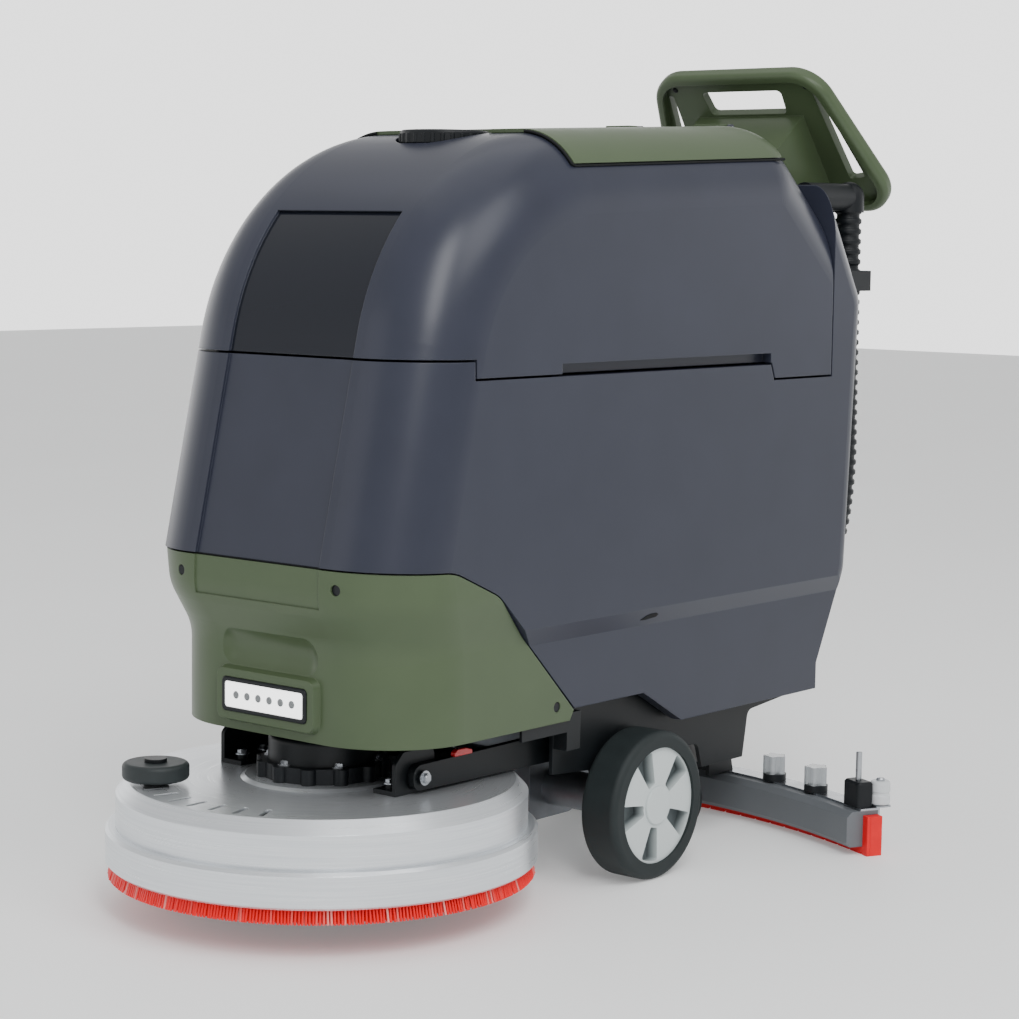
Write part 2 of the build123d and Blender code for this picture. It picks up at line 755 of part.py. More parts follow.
def headlight_bezel():
    """Black light housing with a recess for the lens."""
    box = block((-LIGHT_WIDTH / 2, LIGHT_WIDTH / 2), (COVER_FACE_Y - LIGHT_DEPTH, COVER_FACE_Y),
                (LIGHT_Z - LIGHT_HEIGHT / 2, LIGHT_Z + LIGHT_HEIGHT / 2))
    box = fillet(box.edges().filter_by(Axis.Y), LIGHT_CORNER_R)
    box = chamfer(box.faces().sort_by(Axis.Y)[0].edges(), 1.5)
    return box - lens_block(COVER_FACE_Y - LIGHT_DEPTH - 1, 0)


def lens_block(face, gap):
    """Lens from the station of its face to the back of the recess, smaller all round by the gap."""
    half = LIGHT_WIDTH / 2 - LIGHT_EDGE - gap
    tall = LIGHT_HEIGHT / 2 - LIGHT_EDGE - gap
    back = COVER_FACE_Y - LIGHT_DEPTH + LENS_DEPTH
    lens = block((-half, half), (face, back), (LIGHT_Z - tall, LIGHT_Z + tall))
    return fillet(lens.edges().filter_by(Axis.Y), 4)


def led_chips():
    """Row of round light chips let into the back of the lens."""
    pitch = (LIGHT_WIDTH - 30) / LED_COUNT
    front = COVER_FACE_Y - LIGHT_DEPTH
    solids = []
    for place in range(LED_COUNT):
        x = (place - (LED_COUNT - 1) / 2) * pitch
        solids.append(long_pin(x, (front + 3, front + 8), LIGHT_Z, 5))
    return solids


# Chassis
def chassis_frame():
    """Folded steel frame: deck plate, side rails, caster plate, axle drops and pivots."""
    inner = FRAME_HALF - FRAME_SHEET
    top = DECK_PLATE_TOP
    rail = outline([
        (FRAME_FRONT_Y, top), (FRAME_FRONT_Y, RAIL_FOOT_Z + 6), (-66, RAIL_FOOT_Z),
        (-46, WHEEL_R - 40, 20), (46, WHEEL_R - 40, 20), (70, RAIL_FOOT_Z, 20),
        (CASTER_Y - 62, RAIL_FOOT_Z, 12), (CASTER_Y - 50, CASTER_PLATE_Z),
        (CASTER_Y + 50, CASTER_PLATE_Z), (CASTER_Y + 62, RAIL_FOOT_Z + 30, 12),
        (FRAME_BACK_Y, RAIL_FOOT_Z + 40), (FRAME_BACK_Y, top),
    ])
    side = Pos(inner, 0, 0) * extrude(Plane.YZ * rail, FRAME_SHEET)
    frame = both_sides(side)
    frame += block((-inner, inner), (FRAME_FRONT_Y, FRAME_BACK_Y), (top - FRAME_SHEET, top))
    frame += block((-inner, inner), (FRAME_FRONT_Y, FRAME_FRONT_Y + FRAME_SHEET), (RAIL_FOOT_Z + 60, top))
    plate_z = (CASTER_PLATE_Z, CASTER_PLATE_Z + FRAME_SHEET)
    frame += block((-inner, inner), (CASTER_Y - 50, CASTER_Y + 50), plate_z)
    pivot = cross_pin((ARM_X - ARM_SHEET / 2 - 2, inner), ARM_BACK_Y, ARM_Z, ARM_PIN_R - RUN_FIT)
    pivot += cross_pin((ARM_X + ARM_SHEET / 2 + SEAT_GAP, inner), ARM_BACK_Y, ARM_Z, 14)
    frame += both_sides(pivot)
    lug_x = TOW_HALF + SEAT_GAP
    lug = block((lug_x, lug_x + FRAME_SHEET), (TOW_Y - 20, TOW_Y + 20), (TOW_Z - 16, top - 3))
    frame += both_sides(lug)
    frame += cross_pin((-TOW_HALF - 3, TOW_HALF + 3), TOW_Y, TOW_Z, TOW_PIN_R - RUN_FIT)
    frame -= both_sides(cross_pin((inner - 1, FRAME_HALF + 1), 0, WHEEL_R, AXLE_R + 8))
    frame -= both_sides(post(CASTER_X, CASTER_Y, (plate_z[0] - 1, plate_z[1] + 1), KINGPIN_R + RUN_FIT))
    frame += lift_mount()
    return frame + cover_brackets()


def lift_mount():
    """Gusset on the frame's front that holds the lift actuator over the tie bar."""
    back = FRAME_FRONT_Y + FRAME_SHEET / 2
    front = TIE_Y + ACTUATOR_R
    return side_prism(outline([
        (back, DECK_PLATE_TOP - 2), (back, RAIL_FOOT_Z + 62),
        (front, DECK_PLATE_TOP - 12), (front, DECK_PLATE_TOP + 32),
    ]), GUSSET_HALF)


def lift_actuator():
    """Upright actuator tube with its motor cap, bolted to the front gusset."""
    foot = ROD_TOP - 18
    tube = post(0, TIE_Y, (foot, ACTUATOR_TOP), ACTUATOR_R)
    tube += post(0, TIE_Y, (ACTUATOR_TOP - 24, ACTUATOR_TOP), ACTUATOR_R + 5)
    tube = fillet(tube.edges().group_by(Axis.Z)[-1], 5)
    behind = (TIE_Y + ACTUATOR_R, TIE_Y + 2 * ACTUATOR_R)
    tube -= block((-GUSSET_HALF - 2, GUSSET_HALF + 2), behind, (foot, ACTUATOR_TOP))
    return tube - post(0, TIE_Y, (foot - 1, ROD_TOP + 30), ROD_R + 8)


def drive_unit():
    """Transaxle: gearbox, motor and the two axle tubes that reach the rails."""
    inner = FRAME_HALF - FRAME_SHEET
    case = block((-70, 70), (-52, 52), (WHEEL_R - 42, WHEEL_R + 46))
    case = fillet(case.edges().filter_by(Axis.X), 18)
    case += cross_pin((-inner, inner), 0, WHEEL_R, 26)
    case += block((-60, 60), (-30, 30), (WHEEL_R + 40, DECK_PLATE_TOP - FRAME_SHEET))
    case += long_pin(0, (50, 150), WHEEL_R + 10, 44)
    return case - cross_pin((-inner - 1, inner + 1), 0, WHEEL_R, AXLE_R + RUN_FIT)


def half_shaft():
    """Left half shaft from the transaxle to the wheel hub."""
    return cross_pin((20, WHEEL_OUT_X - 10), 0, WHEEL_R, AXLE_R)


def tyre():
    """Left tyre: a solid rubber ring with rounded shoulders."""
    inner = WHEEL_OUT_X - TYRE_WIDTH
    ring = cross_pin((inner, WHEEL_OUT_X), 0, WHEEL_R, WHEEL_R)
    ring = fillet(ring.edges(), 9)
    ring -= cross_pin((inner - 1, WHEEL_OUT_X + 1), 0, WHEEL_R, HUB_R)
    return ring


def wheel_hub():
    """Left hub: dished disc with wide spokes between sunk pockets."""
    inner = WHEEL_OUT_X - TYRE_WIDTH + 3
    outer = WHEEL_OUT_X - 4
    hub = Cylinder(HUB_R, outer - inner)
    half = (outer - inner) / 2
    ring = Circle(HUB_R - 3) - Circle(HUB_DISC_R)
    across = HUB_R * tan(radians(SPOKE_GAP / 2))
    wedge = make_face(Polyline((0, 0), (HUB_R, across), (HUB_R, -across), close=True))
    pocket = ring & wedge
    pocket = fillet(pocket.vertices(), 3)
    for turn in range(SPOKES):
        hub -= Pos(0, 0, half - 18) * Rot(0, 0, SPOKE_TURN + 360 / SPOKES * turn) * extrude(pocket, 20)
    boss = Pos(0, 0, half) * Cylinder(HUB_DISC_R - 4, 6)
    hub += fillet(boss.edges().group_by(Axis.Z)[-1], 2)
    hub = Pos((inner + outer) / 2, 0, WHEEL_R) * Rot(0, 90, 0) * hub
    return hub - cross_pin((inner - 1, WHEEL_OUT_X - 9.7), 0, WHEEL_R, AXLE_R + 0.02)


def caster_fork():
    """Left caster fork with swivel head, legs, kingpin and axle bolt."""
    head = CASTER_PLATE_Z - SEAT_GAP
    crown = 2 * CASTER_R + 5
    gap = CASTER_WIDTH / 2 + 1.5
    wheel_y = CASTER_Y + CASTER_TRAIL
    fork = post(CASTER_X, CASTER_Y, (crown, head), 25)
    fork += post(CASTER_X, CASTER_Y, (head - 1, CASTER_PLATE_Z + FRAME_SHEET), KINGPIN_R)
    fork += block((CASTER_X - gap - 4, CASTER_X + gap + 4), (CASTER_Y - 20, wheel_y + 16), (crown, crown + 5))
    leg = outline([
        (CASTER_Y - 20, crown + 3), (wheel_y + 16, crown + 3),
        (wheel_y + 11, CASTER_R - 11, 10), (wheel_y - 11, CASTER_R - 11, 10),
    ])
    for x in (CASTER_X - gap - 4, CASTER_X + gap):
        fork += Pos(x, 0, 0) * extrude(Plane.YZ * leg, 4)
    return fork + cross_pin((CASTER_X - gap - 8, CASTER_X + gap + 8), wheel_y, CASTER_R, CASTER_PIN_R)


def caster_wheel():
    """Left caster wheel with a rounded tread and a hub boss."""
    half = CASTER_WIDTH / 2
    wheel_y = CASTER_Y + CASTER_TRAIL
    wheel = cross_pin((CASTER_X - half, CASTER_X + half), wheel_y, CASTER_R, CASTER_R)
    wheel = fillet(wheel.edges(), 6)
    wheel += cross_pin((CASTER_X - half - 1.2, CASTER_X + half + 1.2), wheel_y, CASTER_R, 12)
    return wheel - cross_pin((CASTER_X - 40, CASTER_X + 40), wheel_y, CASTER_R, CASTER_PIN_R + RUN_FIT)


# Brush deck
def deck_revolve(points):
    """Turned piece about the deck's axis from an (r, z) outline."""
    return Pos(0, DECK_Y, 0) * revolve(Plane.XZ * make_face(Polyline(*points, close=True)), Axis.Z)


def deck_shroud():
    """Aluminium drum with a chamfered crown, stiffening ring and vent slots."""
    shroud = deck_revolve([
        (DECK_R - DECK_SHEET, RIM_TOP_Z - 14), (DECK_R, RIM_TOP_Z - 14), (DECK_R, DECK_WALL_TOP),
        (DECK_CROWN_R, DECK_TOP), (RING_R + 20, DECK_TOP), (RING_R + 14, DECK_TOP + 4), (32, DECK_TOP + 4),
        (32, DECK_TOP - DECK_SHEET), (DECK_CROWN_R - 2, DECK_TOP - DECK_SHEET),
        (DECK_R - DECK_SHEET, DECK_WALL_TOP - 2),
    ])
    slot = SlotOverall(34, 7)
    for turn in range(-3, 4):
        place = Pos(0, DECK_Y, DECK_TOP - 20) * Rot(0, 0, 8.5 * turn - 90) * Pos(DECK_CROWN_R - 26, 0, 0)
        shroud -= place * extrude(slot, 40)
    return shroud


def deck_rim():
    """Heavy lower ring round the drum."""
    return deck_revolve([
        (DECK_R, RIM_TOP_Z - 14), (DECK_R, RIM_TOP_Z), (RIM_R - 4, RIM_TOP_Z), (RIM_R, RIM_TOP_Z - 4),
        (RIM_R, RIM_FOOT_Z + 3), (RIM_R - 3, RIM_FOOT_Z), (RIM_R - 8, RIM_FOOT_Z),
        (RIM_R - 8, RIM_TOP_Z - 22), (DECK_R - DECK_SHEET, RIM_TOP_Z - 22),
        (DECK_R - DECK_SHEET, RIM_TOP_Z - 14),
    ])


def deck_yoke():
    """Pair of angle brackets on the drum with the stub pins of the lift arms."""
    seat = DECK_TOP
    front, back = ARM_FRONT_Y - YOKE_HALF, ARM_FRONT_Y + YOKE_HALF
    ear = outline([
        (front, seat), (front, seat + 40, 8), (front + 14, seat + YOKE_TALL, 8), (back, seat + YOKE_TALL, 12),
        (back, seat),
    ])
    plate = Pos(YOKE_X - YOKE_SHEET / 2, 0, 0) * extrude(Plane.YZ * ear, YOKE_SHEET)
    plate += block((YOKE_X - 34, YOKE_X), (front, back), (seat, seat + 6))
    for y in (ARM_FRONT_Y - 20, ARM_FRONT_Y + 20):
        plate += post(YOKE_X - 20, y, (seat + 6, seat + 12), 7)
    plate += cross_pin((YOKE_X, ARM_X + ARM_SHEET / 2 + 4), ARM_FRONT_Y, ARM_Z, ARM_PIN_R - RUN_FIT)
    return both_sides(plate)


def motor_ring():
    """Lobed clamp ring between the drum and the gear motor."""
    seat = DECK_TOP + 4
    tall = (seat, seat + RING_HEIGHT)
    reach = RING_R - 8
    ring = post(0, DECK_Y, tall, RING_R - 6)
    for turn in range(RING_LOBES):
        angle = 2 * pi * turn / RING_LOBES
        ring += post(reach * cos(angle), DECK_Y + reach * sin(angle), tall, 10)
    ring -= post(0, DECK_Y, (seat - 1, seat + RING_HEIGHT + 1), 30)
    return ring


def gear_motor():
    """Brush gear motor standing on the clamp ring, with its nose bearing."""
    seat = DECK_TOP + 4 + RING_HEIGHT
    motor = post(0, DECK_Y, (seat, seat + 34), MOTOR_R + 10)
    motor = fillet(motor.edges().group_by(Axis.Z)[-1], 8)
    can = post(0, DECK_Y, (seat + 30, MOTOR_TOP), MOTOR_R)
    can = fillet(can.edges().group_by(Axis.Z)[-1], 10)
    motor += can
    motor += post(0, DECK_Y, (DECK_TOP - 40, seat + 1), 26)
    return motor - post(0, DECK_Y, (DECK_TOP - 41, seat + 10), SHAFT_R + RUN_FIT)


def brush_disc():
    """Brush backing disc with its drive shaft and water holes."""
    disc = post(0, DECK_Y, (BRUSH_FOOT_Z + 3, BRUSH_TOP_Z), BRUSH_R)
    disc = fillet(disc.edges().group_by(Axis.Z)[-1], 6)
    disc += post(0, DECK_Y, (BRUSH_TOP_Z - 2, BRUSH_TOP_Z + 18), 44)
    disc += post(0, DECK_Y, (BRUSH_TOP_Z, DECK_TOP + 28), SHAFT_R)
    for turn in range(6):
        angle = pi / 3 * turn
        disc -= post(110 * cos(angle), DECK_Y + 110 * sin(angle), (BRUSH_FOOT_Z, BRUSH_TOP_Z + 1), 20)
    return disc


def brush_bristles():
    """Rings of leaning square strands on a slice of the backing."""
    backing = post(0, DECK_Y, (BRUSH_FOOT_Z, BRUSH_FOOT_Z + 3), BRUSH_R)
    backing -= post(0, DECK_Y, (BRUSH_FOOT_Z - 1, BRUSH_FOOT_Z + 4), BRISTLE_RINGS[-1][0] - 12)
    drop = BRUSH_FOOT_Z + 1 - BRISTLE_TIP_Z
    strands = []
    for radius, count, lean in BRISTLE_RINGS:
        square = Rectangle(BRISTLE_SIZE, BRISTLE_SIZE)
        strand = loft([Pos(0, 0, drop) * square, Pos(lean, 0, 0) * square], ruled=True)
        for turn in range(count):
            place = Pos(0, DECK_Y, BRISTLE_TIP_Z) * Rot(0, 0, 360 * turn / count) * Pos(radius, 0, 0)
            strands.append(place * strand)
    return backing.fuse(*strands)


def lift_arms():
    """Pair of flat lift arms joined by a tie bar, with the lift rod standing on it."""
    tall = ARM_TALL / 2
    bar = outline([
        (ARM_FRONT_Y - 16, ARM_Z - tall + 4, 14), (ARM_FRONT_Y - 16, ARM_Z + tall - 4, 14),
        (ARM_BACK_Y + 18, ARM_Z + tall, 16), (ARM_BACK_Y + 18, ARM_Z - tall, 16),
    ])
    arm = Pos(ARM_X - ARM_SHEET / 2, 0, 0) * extrude(Plane.YZ * bar, ARM_SHEET)
    for y in (ARM_FRONT_Y, ARM_BACK_Y):
        arm -= cross_pin((ARM_X - ARM_SHEET, ARM_X + ARM_SHEET), y, ARM_Z, ARM_PIN_R)
    arms = both_sides(arm)
    return arms + cross_pin((-ARM_X, ARM_X), TIE_Y, ARM_Z, TIE_R)


def lift_rod():
    """Bright rod standing on the tie bar, its head inside the actuator."""
    rod = post(0, TIE_Y, (ARM_Z + TIE_R - 1, ROD_TOP), ROD_R)
    return rod - cross_pin((-30, 30), TIE_Y, ARM_Z, TIE_R)


def roller_place():
    """Centre of the wall guide roller as (x, y)."""
    angle = radians(ROLLER_TURN)
    return ROLLER_REACH * cos(angle), DECK_Y + ROLLER_REACH * sin(angle)


def guide_post():
    """Stub post and washer that carry the wall guide roller."""
    x, y = roller_place()
    seat = DECK_TOP
    stub = post(x, y, (seat - 20, seat + 6), 16)
    stub += post(x, y, (seat + 5, seat + 6 + ROLLER_TALL + 1), ROLLER_PIN_R)
    stub += post(x, y, (seat + 6 + ROLLER_TALL + 0.6, seat + 6 + ROLLER_TALL + 5), 14)
    return stub - deck_shroud_space()


def deck_shroud_space():
    """Space under the drum's outer surface, which pieces on top stay out of."""
    return deck_revolve([
        (0, RIM_TOP_Z), (RIM_R, RIM_TOP_Z), (DECK_R, RIM_TOP_Z), (DECK_R, DECK_WALL_TOP),
        (DECK_CROWN_R, DECK_TOP), (0, DECK_TOP),
    ])


def guide_roller():
    """Grey wall guide roller on its post."""
    x, y = roller_place()
    foot = DECK_TOP + 6 + SEAT_GAP
    roller = post(x, y, (foot, foot + ROLLER_TALL), ROLLER_R)
    roller = fillet(roller.edges(), 6)
    return roller - post(x, y, (foot - 1, foot + ROLLER_TALL + 1), ROLLER_PIN_R + RUN_FIT)


# Squeegee
def arc_band(points, half_angle):
    """Band about the squeegee's axis, centred behind it, from an (r, z) outline."""
    face = Plane.XZ * make_face(Polyline(*points, close=True))
    band = revolve(face, Axis.Z, 2 * half_angle)
    return Pos(0, SQUEEGEE_Y, 0) * Rot(0, 0, 90 - half_angle) * band


def arc_place(radius, angle):
    """Point on an arc of the squeegee; the angle is from the middle plane."""
    return radius * sin(radians(angle)), SQUEEGEE_Y + radius * cos(radians(angle))


def squeegee_body():
    """Curved carrier: front wall, roof over the blades and the suction port."""
    roof = SQUEEGEE_TOP_Z - SQUEEGEE_LIP
    outer = REAR_BLADE_R + BLADE_THICK
    body = arc_band([
        (BODY_IN_R, SQUEEGEE_FOOT_Z + 6), (BODY_IN_R + 6, SQUEEGEE_FOOT_Z), (FRONT_BLADE_R, SQUEEGEE_FOOT_Z),
        (FRONT_BLADE_R, roof), (outer, roof), (outer, SQUEEGEE_TOP_Z), (BODY_IN_R + 8, SQUEEGEE_TOP_Z),
        (BODY_IN_R, SQUEEGEE_TOP_Z - 8),
    ], SQUEEGEE_HALF_ANGLE)
    x, y = port_place()
    body += post(x, y, (SQUEEGEE_TOP_Z - 1, PORT_TOP_Z), PORT_R)
    return body - post(x, y, (SQUEEGEE_FOOT_Z + 20, PORT_TOP_Z + 1), PORT_R - 4)


def front_blade():
    """Front rubber blade, held against the carrier's wall."""
    roof = SQUEEGEE_TOP_Z - SQUEEGEE_LIP
    outer = FRONT_BLADE_R + BLADE_THICK
    return arc_band([(FRONT_BLADE_R, 0), (outer, 0), (outer, roof), (FRONT_BLADE_R, roof)],
                    SQUEEGEE_HALF_ANGLE + BLADE_OVERHANG)


def rear_blade():
    """Rear rubber blade, turned forward at both ends to close the suction channel."""
    roof = SQUEEGEE_TOP_Z - SQUEEGEE_LIP
    half = SQUEEGEE_HALF_ANGLE + BLADE_OVERHANG
    outer = REAR_BLADE_R + BLADE_THICK
    blade = arc_band([(REAR_BLADE_R, 0), (outer, 0), (outer, roof), (REAR_BLADE_R, roof)], half)
    inner = FRONT_BLADE_R + BLADE_THICK
    flap = [(inner, 0), (REAR_BLADE_R + 1, 0), (REAR_BLADE_R + 1, roof), (inner, roof)]
    turn = half - BLADE_OVERHANG / 2
    swing = Pos(0, SQUEEGEE_Y, 0) * Rot(0, 0, turn) * Pos(0, -SQUEEGEE_Y, 0)
    return blade + both_sides(swing * arc_band(flap, BLADE_OVERHANG / 2))


def port_place():
    """Centre of the suction port as (x, y)."""
    return arc_place((FRONT_BLADE_R + REAR_BLADE_R) / 2 - 10, 0)


def blade_strap():
    """Bright strap that clamps the rear blade from behind and folds over the roof."""
    outer = REAR_BLADE_R + BLADE_THICK
    foot = SQUEEGEE_TOP_Z - SQUEEGEE_LIP - STRAP_DROP
    top = SQUEEGEE_TOP_Z
    edge = BODY_IN_R + STRAP_SETBACK
    strap = arc_band([
        (outer, foot), (outer + STRAP_SHEET, foot), (outer + STRAP_SHEET, top + STRAP_SHEET),
        (edge, top + STRAP_SHEET), (edge, top), (outer, top),
    ], SQUEEGEE_HALF_ANGLE)
    return strap - post(*port_place(), (top - 1, top + STRAP_SHEET + 1), PORT_R + SEAT_GAP)


def end_clamps():
    """End blocks with upright pins that hold the blade ends, and the sockets of the knobs."""
    top = SQUEEGEE_TOP_Z + STRAP_SHEET
    turn = SQUEEGEE_HALF_ANGLE - CLAMP_SETBACK
    x, y = arc_place(FRONT_BLADE_R + 6, turn)
    clamp = fillet(Box(CLAMP_LONG, CLAMP_DEEP, CLAMP_TALL).edges().filter_by(Axis.Z), 6)
    clamp = chamfer(clamp.faces().sort_by(Axis.Z)[-1].edges(), 3)
    clamp = Pos(x, y, top + CLAMP_TALL / 2) * Rot(0, 0, -turn) * clamp
    clamp += post(x, y, (top + CLAMP_TALL - 1, top + CLAMP_PIN_TALL), CLAMP_PIN_R)
    return [clamp, mirror(clamp, about=Plane.YZ)] + [knob_socket(angle) for angle in KNOB_ANGLES]


def knob_socket(angle):
    """Round socket on the strap that holds one knob's stem."""
    x, y = arc_place(FRONT_BLADE_R + 6, angle)
    top = SQUEEGEE_TOP_Z + STRAP_SHEET
    socket = post(x, y, (top, top + SOCKET_TALL), KNOB_R)
    return socket - post(x, y, (top - 1, top + SOCKET_TALL + 1), KNOB_STEM_R + RUN_FIT)


def squeegee_knob(angle):
    """Star knob whose stem stands in its socket."""
    x, y = arc_place(FRONT_BLADE_R + 6, angle)
    foot = SQUEEGEE_TOP_Z + STRAP_SHEET + SEAT_GAP
    head = (foot + SOCKET_TALL, foot + KNOB_TALL)
    knob = post(x, y, (foot, head[1]), KNOB_STEM_R)
    knob += post(x, y, head, KNOB_R - 4)
    reach = KNOB_R - KNOB_LOBE_R
    for turn in range(KNOB_LOBES):
        lobe = 2 * pi * turn / KNOB_LOBES
        knob += post(x + reach * cos(lobe), y + reach * sin(lobe), head, KNOB_LOBE_R)
    return knob


def tow_bracket():
    """Tow arm from the frame's rear pivot to the squeegee, with its side plates."""
    foot = SQUEEGEE_TOP_Z + STRAP_SHEET
    arm = outline([
        (TOW_Y - 16, TOW_Z - 14, 12), (TOW_Y - 16, TOW_Z + 16, 14), (318, TOW_Z + 6, 20),
        (352, TOW_Z - 12), (352, foot + 8), (330, foot + 8), (300, TOW_Z - 22, 20),
    ])
    tow = side_prism(arm, TOW_HALF)
    tow -= cross_pin((-50, 50), TOW_Y, TOW_Z, TOW_PIN_R)
    side = outline([
        (330, foot + 8), (330, foot + 70, 20), (360, foot + 84, 10), (376, foot + 60, 14),
        (392, foot, 0.5), (330, foot),
    ])
    wing = Pos(TOW_SIDE_X - TOW_SHEET, 0, 0) * extrude(Plane.YZ * side, TOW_SHEET)
    plate = block((0, TOW_SIDE_X), (330, 352), (foot + 8, foot + 14))
    plate += block((TOW_SIDE_X - 40, TOW_SIDE_X), (360, 386), (foot, foot + 6))
    plate += block((0, TOW_SIDE_X), (346, 352), (foot + 8, foot + 56))
    return tow + both_sides(wing + plate)


# Handle and console
def handle_plane():
    """Sloping plane of the handle: local Y runs down it, local Z stands out of it."""
    fall = radians(HANDLE_FALL)
    return Plane(origin=(0, HANDLE_TOP_Y, HANDLE_TOP_Z), x_dir=(1, 0, 0), z_dir=(0, sin(fall), cos(fall)))


def handle_point(down, out):
    """Machine (y, z) of a point on the handle's middle plane."""
    fall = radians(HANDLE_FALL)
    y = HANDLE_TOP_Y + down * cos(fall) + out * sin(fall)
    z = HANDLE_TOP_Z - down * sin(fall) + out * cos(fall)
    return y, z


def on_panel(u, down, shape):
    """Move an upright shape onto the control panel."""
    return handle_plane() * Pos(u, down, HANDLE_THICK / 2) * shape


def handle_ring():
    """Outline of the handle on its own plane, flared towards its foot."""
    top = HANDLE_TOP_WIDE / 2
    foot = HANDLE_FOOT_WIDE / 2
    return outline([
        (-top, 0, HANDLE_TOP_R), (top, 0, HANDLE_TOP_R),
        (foot, HANDLE_LONG, HANDLE_FOOT_R), (-foot, HANDLE_LONG, HANDLE_FOOT_R),
    ])


def handle_loop():
    """Handle: a round-edged rim round a thin web, with the hand window and a wedge slit on each side."""
    low = -HANDLE_THICK / 2
    plate = extrude(Pos(0, 0, low) * handle_ring(), HANDLE_THICK)
    rims = plate.edges().filter_by(lambda edge: abs(abs(edge.center().Z) - HANDLE_THICK / 2) < 0.01)
    plate = fillet(rims, HANDLE_ROUND)
    plate -= extrude(Pos(0, 0, low) * offset(handle_ring(), -HANDLE_RIM), HANDLE_THICK - WEB_THICK)
    slit = outline([
        (SLIT_IN, SLIT_FRONT, 3), (SLIT_IN + 8, SLIT_FRONT - 2, 3),
        (SLIT_OUT, SLIT_BACK - 4, 5), (SLIT_IN + 9, SLIT_BACK, 5),
    ])
    window = outline([
        (-WINDOW_HALF, WINDOW_FRONT, 8), (WINDOW_HALF, WINDOW_FRONT, 8),
        (WINDOW_HALF - 4, WINDOW_BACK, 8), (4 - WINDOW_HALF, WINDOW_BACK, 8),
    ])
    holes = window + slit + mirror(slit, about=Plane.YZ)
    plate -= extrude(Pos(0, 0, low) * holes, HANDLE_THICK)
    ear_x = (PADDLE_HALF + SEAT_GAP, PADDLE_HALF + SEAT_GAP + PADDLE_EAR)
    ear = block(ear_x, (PADDLE_DOWN - PADDLE_BAR, WINDOW_FRONT), (0, PADDLE_OUT))
    ear += cross_pin(ear_x, PADDLE_DOWN, PADDLE_OUT, PADDLE_BAR)
    ear -= cross_pin(ear_x, PADDLE_DOWN, PADDLE_OUT, PADDLE_PIN_R + RUN_FIT)
    return plate + both_sides(ear)


def console_body():
    """Console box between the handle's web and the sloping face of the column."""
    slope = (COLUMN_BACK_Y - TANK_BACK_Y - SEAM) / (COLUMN_TOP_Z - COLUMN_KNEE_Z)
    column_top_y = TANK_BACK_Y + SEAM
    seat_y = column_top_y + (COLUMN_TOP_Z - CONSOLE_SEAT_Z) * slope
    under = HANDLE_THICK / 2 - WEB_THICK + 3
    return side_prism(outline([
        handle_point(WINDOW_BACK + 4, under),
        handle_point(HANDLE_LONG - HANDLE_RIM - 1, under),
        (handle_point(HANDLE_LONG - CONSOLE_HEEL, under)[0], CONSOLE_FOOT_Z),
        (seat_y, CONSOLE_SEAT_Z),
        (column_top_y, COLUMN_TOP_Z),
        (column_top_y, COLUMN_TOP_Z + 24),
    ]), CONSOLE_HALF)


def handle_console():
    """Green handle with the console body that carries it on the column."""
    handle = handle_plane() * handle_loop() + console_body()
    pocket = Pos(0, (PANEL_FRONT + PANEL_BACK) / 2, HANDLE_THICK / 2) * Box(
        PANEL_WIDE, PANEL_BACK - PANEL_FRONT, 2 * PANEL_THICK)
    for u, down, radius in control_sockets():
        well = HANDLE_THICK / 2 - PANEL_THICK - WELL_DEEP / 2
        pocket += Pos(u, down, well) * Cylinder(radius + 1, WELL_DEEP)
    return handle - handle_plane() * pocket


def control_panel():
    """Black operator panel let into the console, with sockets for the controls."""
    panel = Box(PANEL_WIDE - 0.6, PANEL_BACK - PANEL_FRONT - 0.6, PANEL_THICK)
    panel = fillet(panel.edges().filter_by(Axis.Z), 8)
    panel = Pos(0, (PANEL_FRONT + PANEL_BACK) / 2, HANDLE_THICK / 2 - PANEL_THICK / 2) * panel
    for u, down, radius in control_sockets():
        panel -= Pos(u, down, HANDLE_THICK / 2) * Cylinder(radius + RUN_FIT, 3 * PANEL_THICK)
    return handle_plane() * panel


def control_sockets():
    """Place and stem radius of each control on the panel."""
    return (
        (-48, 112, 5), (46, 114, 6), (0, 150, 5),
        (-46, 186, BUTTON_R), (0, 194, BUTTON_R), (46, 186, BUTTON_R),
    )


def key_switch():
    """Key in its barrel."""
    key = Pos(0, 0, 4) * Cylinder(11, 8) - Pos(0, 0, 7) * Box(16, 2.4, 6)
    key += Pos(0, 0, 13) * Box(12, 2.2, 20)
    return key + Pos(0, 0, -PANEL_THICK / 2) * Cylinder(5, PANEL_THICK)


def stop_button():
    """Mushroom stop button standing clear of the panel by its travel."""
    head = Pos(0, 0, 12) * Cylinder(STOP_R, 8)
    head = fillet(head.edges().group_by(Axis.Z)[-1], 3)
    return head + Pos(0, 0, 5 - PANEL_THICK / 2) * Cylinder(6, 10 + PANEL_THICK)


def speed_dial():
    """Round dial with a pointer rib."""
    dial = Pos(0, 0, 8) * Cylinder(DIAL_R, 15)
    dial = chamfer(dial.edges().group_by(Axis.Z)[-1], 3)
    dial += Pos(0, -DIAL_R / 2, 16) * Box(3, DIAL_R, 3)
    return dial + Pos(0, 0, 1 - PANEL_THICK / 2) * Cylinder(5, PANEL_THICK + 2)


def push_button():
    """Round push button, proud of the panel by more than its travel."""
    foot = 1.5 - PANEL_THICK
    top = BUTTON_TRAVEL + 2
    button = post(0, 0, (foot, top), BUTTON_R)
    return chamfer(button.edges().group_by(Axis.Z)[-1], 1)


